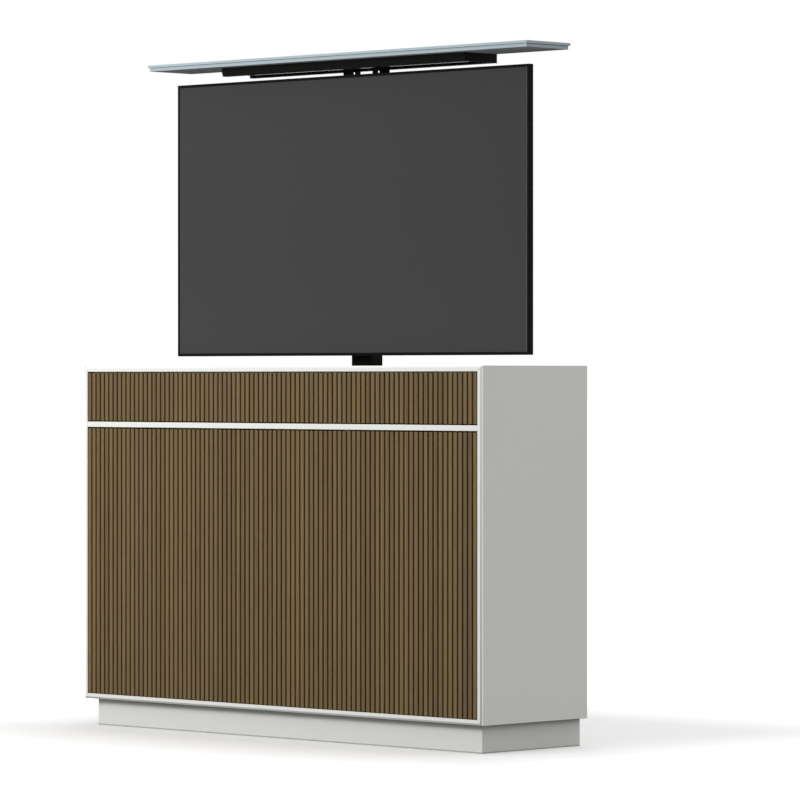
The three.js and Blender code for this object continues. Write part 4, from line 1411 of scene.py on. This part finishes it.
def rear_shell(edge):
    """The rear shell of the television, with vents, a bay of sockets, a mains inlet and screws."""
    node = "tv_rear_shell"
    body, (low, high) = body_of(node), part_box(node)
    made = rounded(f"{node}_finish", shell(node), edge, SOFT_EDGE_STEPS)
    first_vent, vent_pitch, vents_across, vent_rows = 244 * MM, 12 * MM, 13, (290, 365, 440, 515)
    vent_width, vent_length, vent_depth = 4.4 * MM, 62 * MM, 4 * MM
    columns = mirrored(first_vent, vent_pitch, vents_across)
    places = grid(columns, high.y, [low.z + rise * MM for rise in vent_rows])
    vents = slots(places, vent_width, vent_length, vent_depth)
    bay_depth, bay_inset, bay_low, bay_high, bay_edge = 11 * MM, 30 * MM, 72 * MM, 176 * MM, 2 * MM
    socket_depth, overlap = 7 * MM, 1 * MM
    sockets = rear_sockets(low.z)
    left = min(x for x, z, w, h in sockets) - bay_inset
    right = max(x for x, z, w, h in sockets) + bay_inset
    floor, past = high.y - bay_depth, high.y + bay_depth
    bay = block((left, floor, low.z + bay_low), (right, past, low.z + bay_high))
    holes = [bar(x, z, w, h, floor - socket_depth, floor + overlap) for x, z, w, h in sockets]
    inlet, inlet_width, inlet_height = (-left, low.z + 110 * MM), 28 * MM, 20 * MM
    opening = bar(*inlet, inlet_width, inlet_height, floor, past)
    tools = [vents, rounded("bay", bay, bay_edge)]
    tools += [rounded("holes", together(*holes), 0), rounded("inlet", opening, 0)]
    dressed_as(node, pierced(made, *tools), "rear_plastic")
    aerial = (left + bay_inset / 2, floor, low.z + bay_low + bay_inset / 2)
    socket_fittings(body, sockets, inlet, aerial, floor, socket_depth)
    rim_step, inset, across, upright = 8.3 * MM, 22 * MM, 7, 5
    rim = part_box("tv_frame")[1].y + rim_step
    ends, rows = within(low.x, high.x, inset), within(low.z, high.z, inset)
    points = grid(spread(*ends, across), rim, rows) + grid(ends, rim, spread(*rows, upright)[1:-1])
    screws("tv_shell_screws", body, "rear shell", points, BACK, "black_steel")


class CABINET_OT_television(Operator):
    """Builds the television's frame, its screen, and its rear shell with vents and sockets"""

    bl_idname = "cabinet.television"
    bl_label = "Television"

    def execute(self, context):
        sizes = context.scene.cabinet_sizes
        dressed_node("tv_frame", sizes.plastic_edge)
        dressed_node("tv_screen", sizes.steel_edge)
        rear_shell(sizes.moulded_edge)
        return {"FINISHED"}


def box_controls(body, low, top, middle):
    """Two buttons and a lamp on the control box."""
    collar, shoulder, cap, dome = 8 * MM, 6.6 * MM, 6.2 * MM, 5.6 * MM
    collar_top, cap_top, button_top = 1.5 * MM, 3.2 * MM, 3.6 * MM
    button = [(0, 0), (0, collar), (collar_top, collar), (collar_top, shoulder), (cap_top, cap)]
    button += [(button_top, dome), (button_top, 0)]
    for title, x in (("control_button_1", 40 * MM), ("control_button_2", 64 * MM)):
        piece(title, turned(button, (low.x + x, middle.y, top), UP), body, "grey_plastic")
    lamp_x, rim, crown, sides = 88 * MM, 2.2 * MM, 1.4 * MM, 24
    rim_top, crown_rise, lens_top = 0.8 * MM, 1.4 * MM, 1.6 * MM
    lens = [(0, 0), (0, rim), (rim_top, rim), (crown_rise, crown), (lens_top, 0)]
    lamp = turned(lens, (low.x + lamp_x, middle.y, top), UP, sides)
    piece("control_lamp", lamp, body, "grey_plastic", kind="lens")


class CABINET_OT_control(Operator):
    """Builds the control box of the lift, with its inlet, buttons and screws"""

    bl_idname = "cabinet.control"
    bl_label = "Control box"

    def execute(self, context):
        node, edge, inset = "control_box", 2 * MM, 9 * MM
        vent_inset, vents = 25 * MM, 15
        vent_width, vent_length, vent_depth = 3.4 * MM, 28 * MM, 3 * MM
        inlet_inset, inlet_depth, pin_length = 40 * MM, 16 * MM, 9 * MM
        pin_half = Vector((1, 2, 0)) * MM
        pin_places = [Vector(place) * MM for place in ((-7, -2, 0), (7, -2, 0), (0, 3, 0))]
        body = body_of(node)
        low, high, middle = corners_of(node)
        made = rounded(f"{node}_finish", shell(node), edge, SOFT_EDGE_STEPS)
        places = grid(spread(*within(low.x, high.x, vent_inset), vents), high.y, (middle.z,))
        dressed_as(node, pierced(made, slots(places, vent_width, vent_length, vent_depth)))
        foot = Vector((high.x - inlet_inset, middle.y, high.z - inlet_depth))
        pins = [
            block(foot + pin - pin_half, foot + pin + pin_half + Vector(UP) * pin_length)
            for pin in pin_places
        ]
        piece("control_inlet_pins", together(*pins), body, "bright_steel", kind="contact")
        box_controls(body, low, high.z, middle)
        points = laid(within(low.x, high.x, inset), within(low.y, high.y, inset), high.z)
        screws("control_box_screws", body, "control box", points, UP, "black_steel")
        return {"FINISHED"}


class CABINET_OT_stage(Operator):
    """Builds the floor, the lights and the world"""

    bl_idname = "cabinet.stage"
    bl_label = "Stage"

    def execute(self, context):
        stage = context.scene.cabinet_stage
        made = bmesh.new()
        bmesh.ops.create_grid(made, x_segments=1, y_segments=1, size=FLOOR_SIZE / 2)
        mesh = bpy.data.meshes.new("floor")
        made.to_mesh(mesh)
        made.free()
        floor = placed("floor", mesh)
        floor.data.materials.append(floor_finish(stage))
        lamp = bpy.data.lights.new("key", "AREA")
        lamp.shape = "RECTANGLE"
        lamp.size = stage.key_width
        lamp.size_y = stage.key_height
        lamp.energy = stage.key
        key = placed("key", lamp)
        key.visible_glossy = False
        key.location = stage.key_place
        key.rotation_mode = "QUATERNION"
        key.rotation_quaternion = (stage.key_place - stage.key_aim).to_track_quat("Z", "Y")
        spared = bpy.data.collections.new("not lit by the key")
        spared.objects.link(floor)
        spared.collection_objects[0].light_linking.link_state = "EXCLUDE"
        key.light_linking.receiver_collection = spared
        sky(context.scene, stage.sky)
        context.scene.view_settings.view_transform = "Standard"
        return {"FINISHED"}


def seen(graph):
    """One on rays that show the background: from the camera, in a reflection or through glass."""
    path = graph.add("ShaderNodeLightPath")
    kinds = ("Camera", "Glossy", "Transmission")
    camera, glossy, clear = (Value(graph, path.outputs[f"Is {kind} Ray"]) for kind in kinds)
    return (camera + glossy + clear).math("MINIMUM", 1.0)


def floor_finish(stage):
    """White floor that keeps the shadow, with a painted shadow round the cabinet where it glows
    less, and is darker to the rays that light the object.
    """
    s = Surface("floor")
    x, y = s.parts(s.place)[:2]
    white = s.clouded(neutral(stage.floor_shown), size=1.5, detail=2.0, share=0.01)
    lit = s.first("ShaderNodeBsdfDiffuse", {}, {"Color": white})
    # Painted shadow round the cabinet: less glow near it, more further off.
    beside = x.math("ABSOLUTE") - CASE_HIGH.x
    before = (y - SHADOW_REACH / 2).math("ABSOLUTE") - (CASE_HIGH.y + SHADOW_REACH / 2)
    away = s.span(beside.math("SMOOTH_MAX", before, FADE_BLEND), 0.0, stage.floor_fade)
    added = s.mix(away, neutral(stage.floor_glow_near), neutral(stage.floor_glow_far))
    glow = s.first("ShaderNodeEmission", {}, {"Color": added})
    shown = s.first("ShaderNodeAddShader", {}, {0: lit, 1: glow})
    dark = s.first("ShaderNodeBsdfDiffuse", {}, {"Color": s.opaque(neutral(stage.floor_bounce))})
    both = s.first("ShaderNodeMixShader", {}, {0: seen(s), 1: dark, 2: shown})
    s.add("ShaderNodeOutputMaterial", {}, {"Surface": both})
    return s.material


def sky(scene, strength):
    """Even light all round, before a white background."""
    scene.world = bpy.data.worlds.new("sky")
    scene.world.use_nodes = True
    graph = Graph(scene.world.node_tree)
    light = graph.first("ShaderNodeBackground", {}, {"Color": WHITE, "Strength": strength})
    white = graph.first("ShaderNodeBackground", {}, {"Color": WHITE, "Strength": 1.0})
    both = graph.first("ShaderNodeMixShader", {}, {0: seen(graph), 1: light, 2: white})
    graph.add("ShaderNodeOutputWorld", {}, {"Surface": both})


GROUPS = {
    "cabinet_colours": CabinetColours,
    "cabinet_sizes": CabinetSizes,
    "cabinet_stage": CabinetStage,
}
STEPS = (
    CABINET_OT_camera,
    CABINET_OT_case,
    CABINET_OT_back,
    CABINET_OT_slats,
    CABINET_OT_fronts,
    CABINET_OT_hinges,
    CABINET_OT_latches,
    CABINET_OT_lift,
    CABINET_OT_carriage,
    CABINET_OT_lid,
    CABINET_OT_television,
    CABINET_OT_control,
    CABINET_OT_stage,
)


class CABINET_PT_steps(Panel):
    """Lists what builds the cabinet"""

    bl_idname = "CABINET_PT_steps"
    bl_label = "Television lift cabinet"
    bl_space_type = "VIEW_3D"
    bl_region_type = "UI"
    bl_category = "Cabinet"

    def draw(self, context):
        for step in STEPS:
            self.layout.operator(step.bl_idname)
        for title, group in GROUPS.items():
            for name in group.__annotations__:
                self.layout.prop(getattr(context.scene, title), name)


def register():
    for kind in (*GROUPS.values(), *STEPS, CABINET_PT_steps):
        bpy.utils.register_class(kind)
    for title, group in GROUPS.items():
        setattr(bpy.types.Scene, title, PointerProperty(type=group))


def unregister():
    for title in GROUPS:
        delattr(bpy.types.Scene, title)
    for kind in reversed((*GROUPS.values(), *STEPS, CABINET_PT_steps)):
        bpy.utils.unregister_class(kind)


def main():
    register()
    for step in STEPS:
        family, name = step.bl_idname.split(".")
        getattr(getattr(bpy.ops, family), name)()


if __name__ == "__main__":
    main()
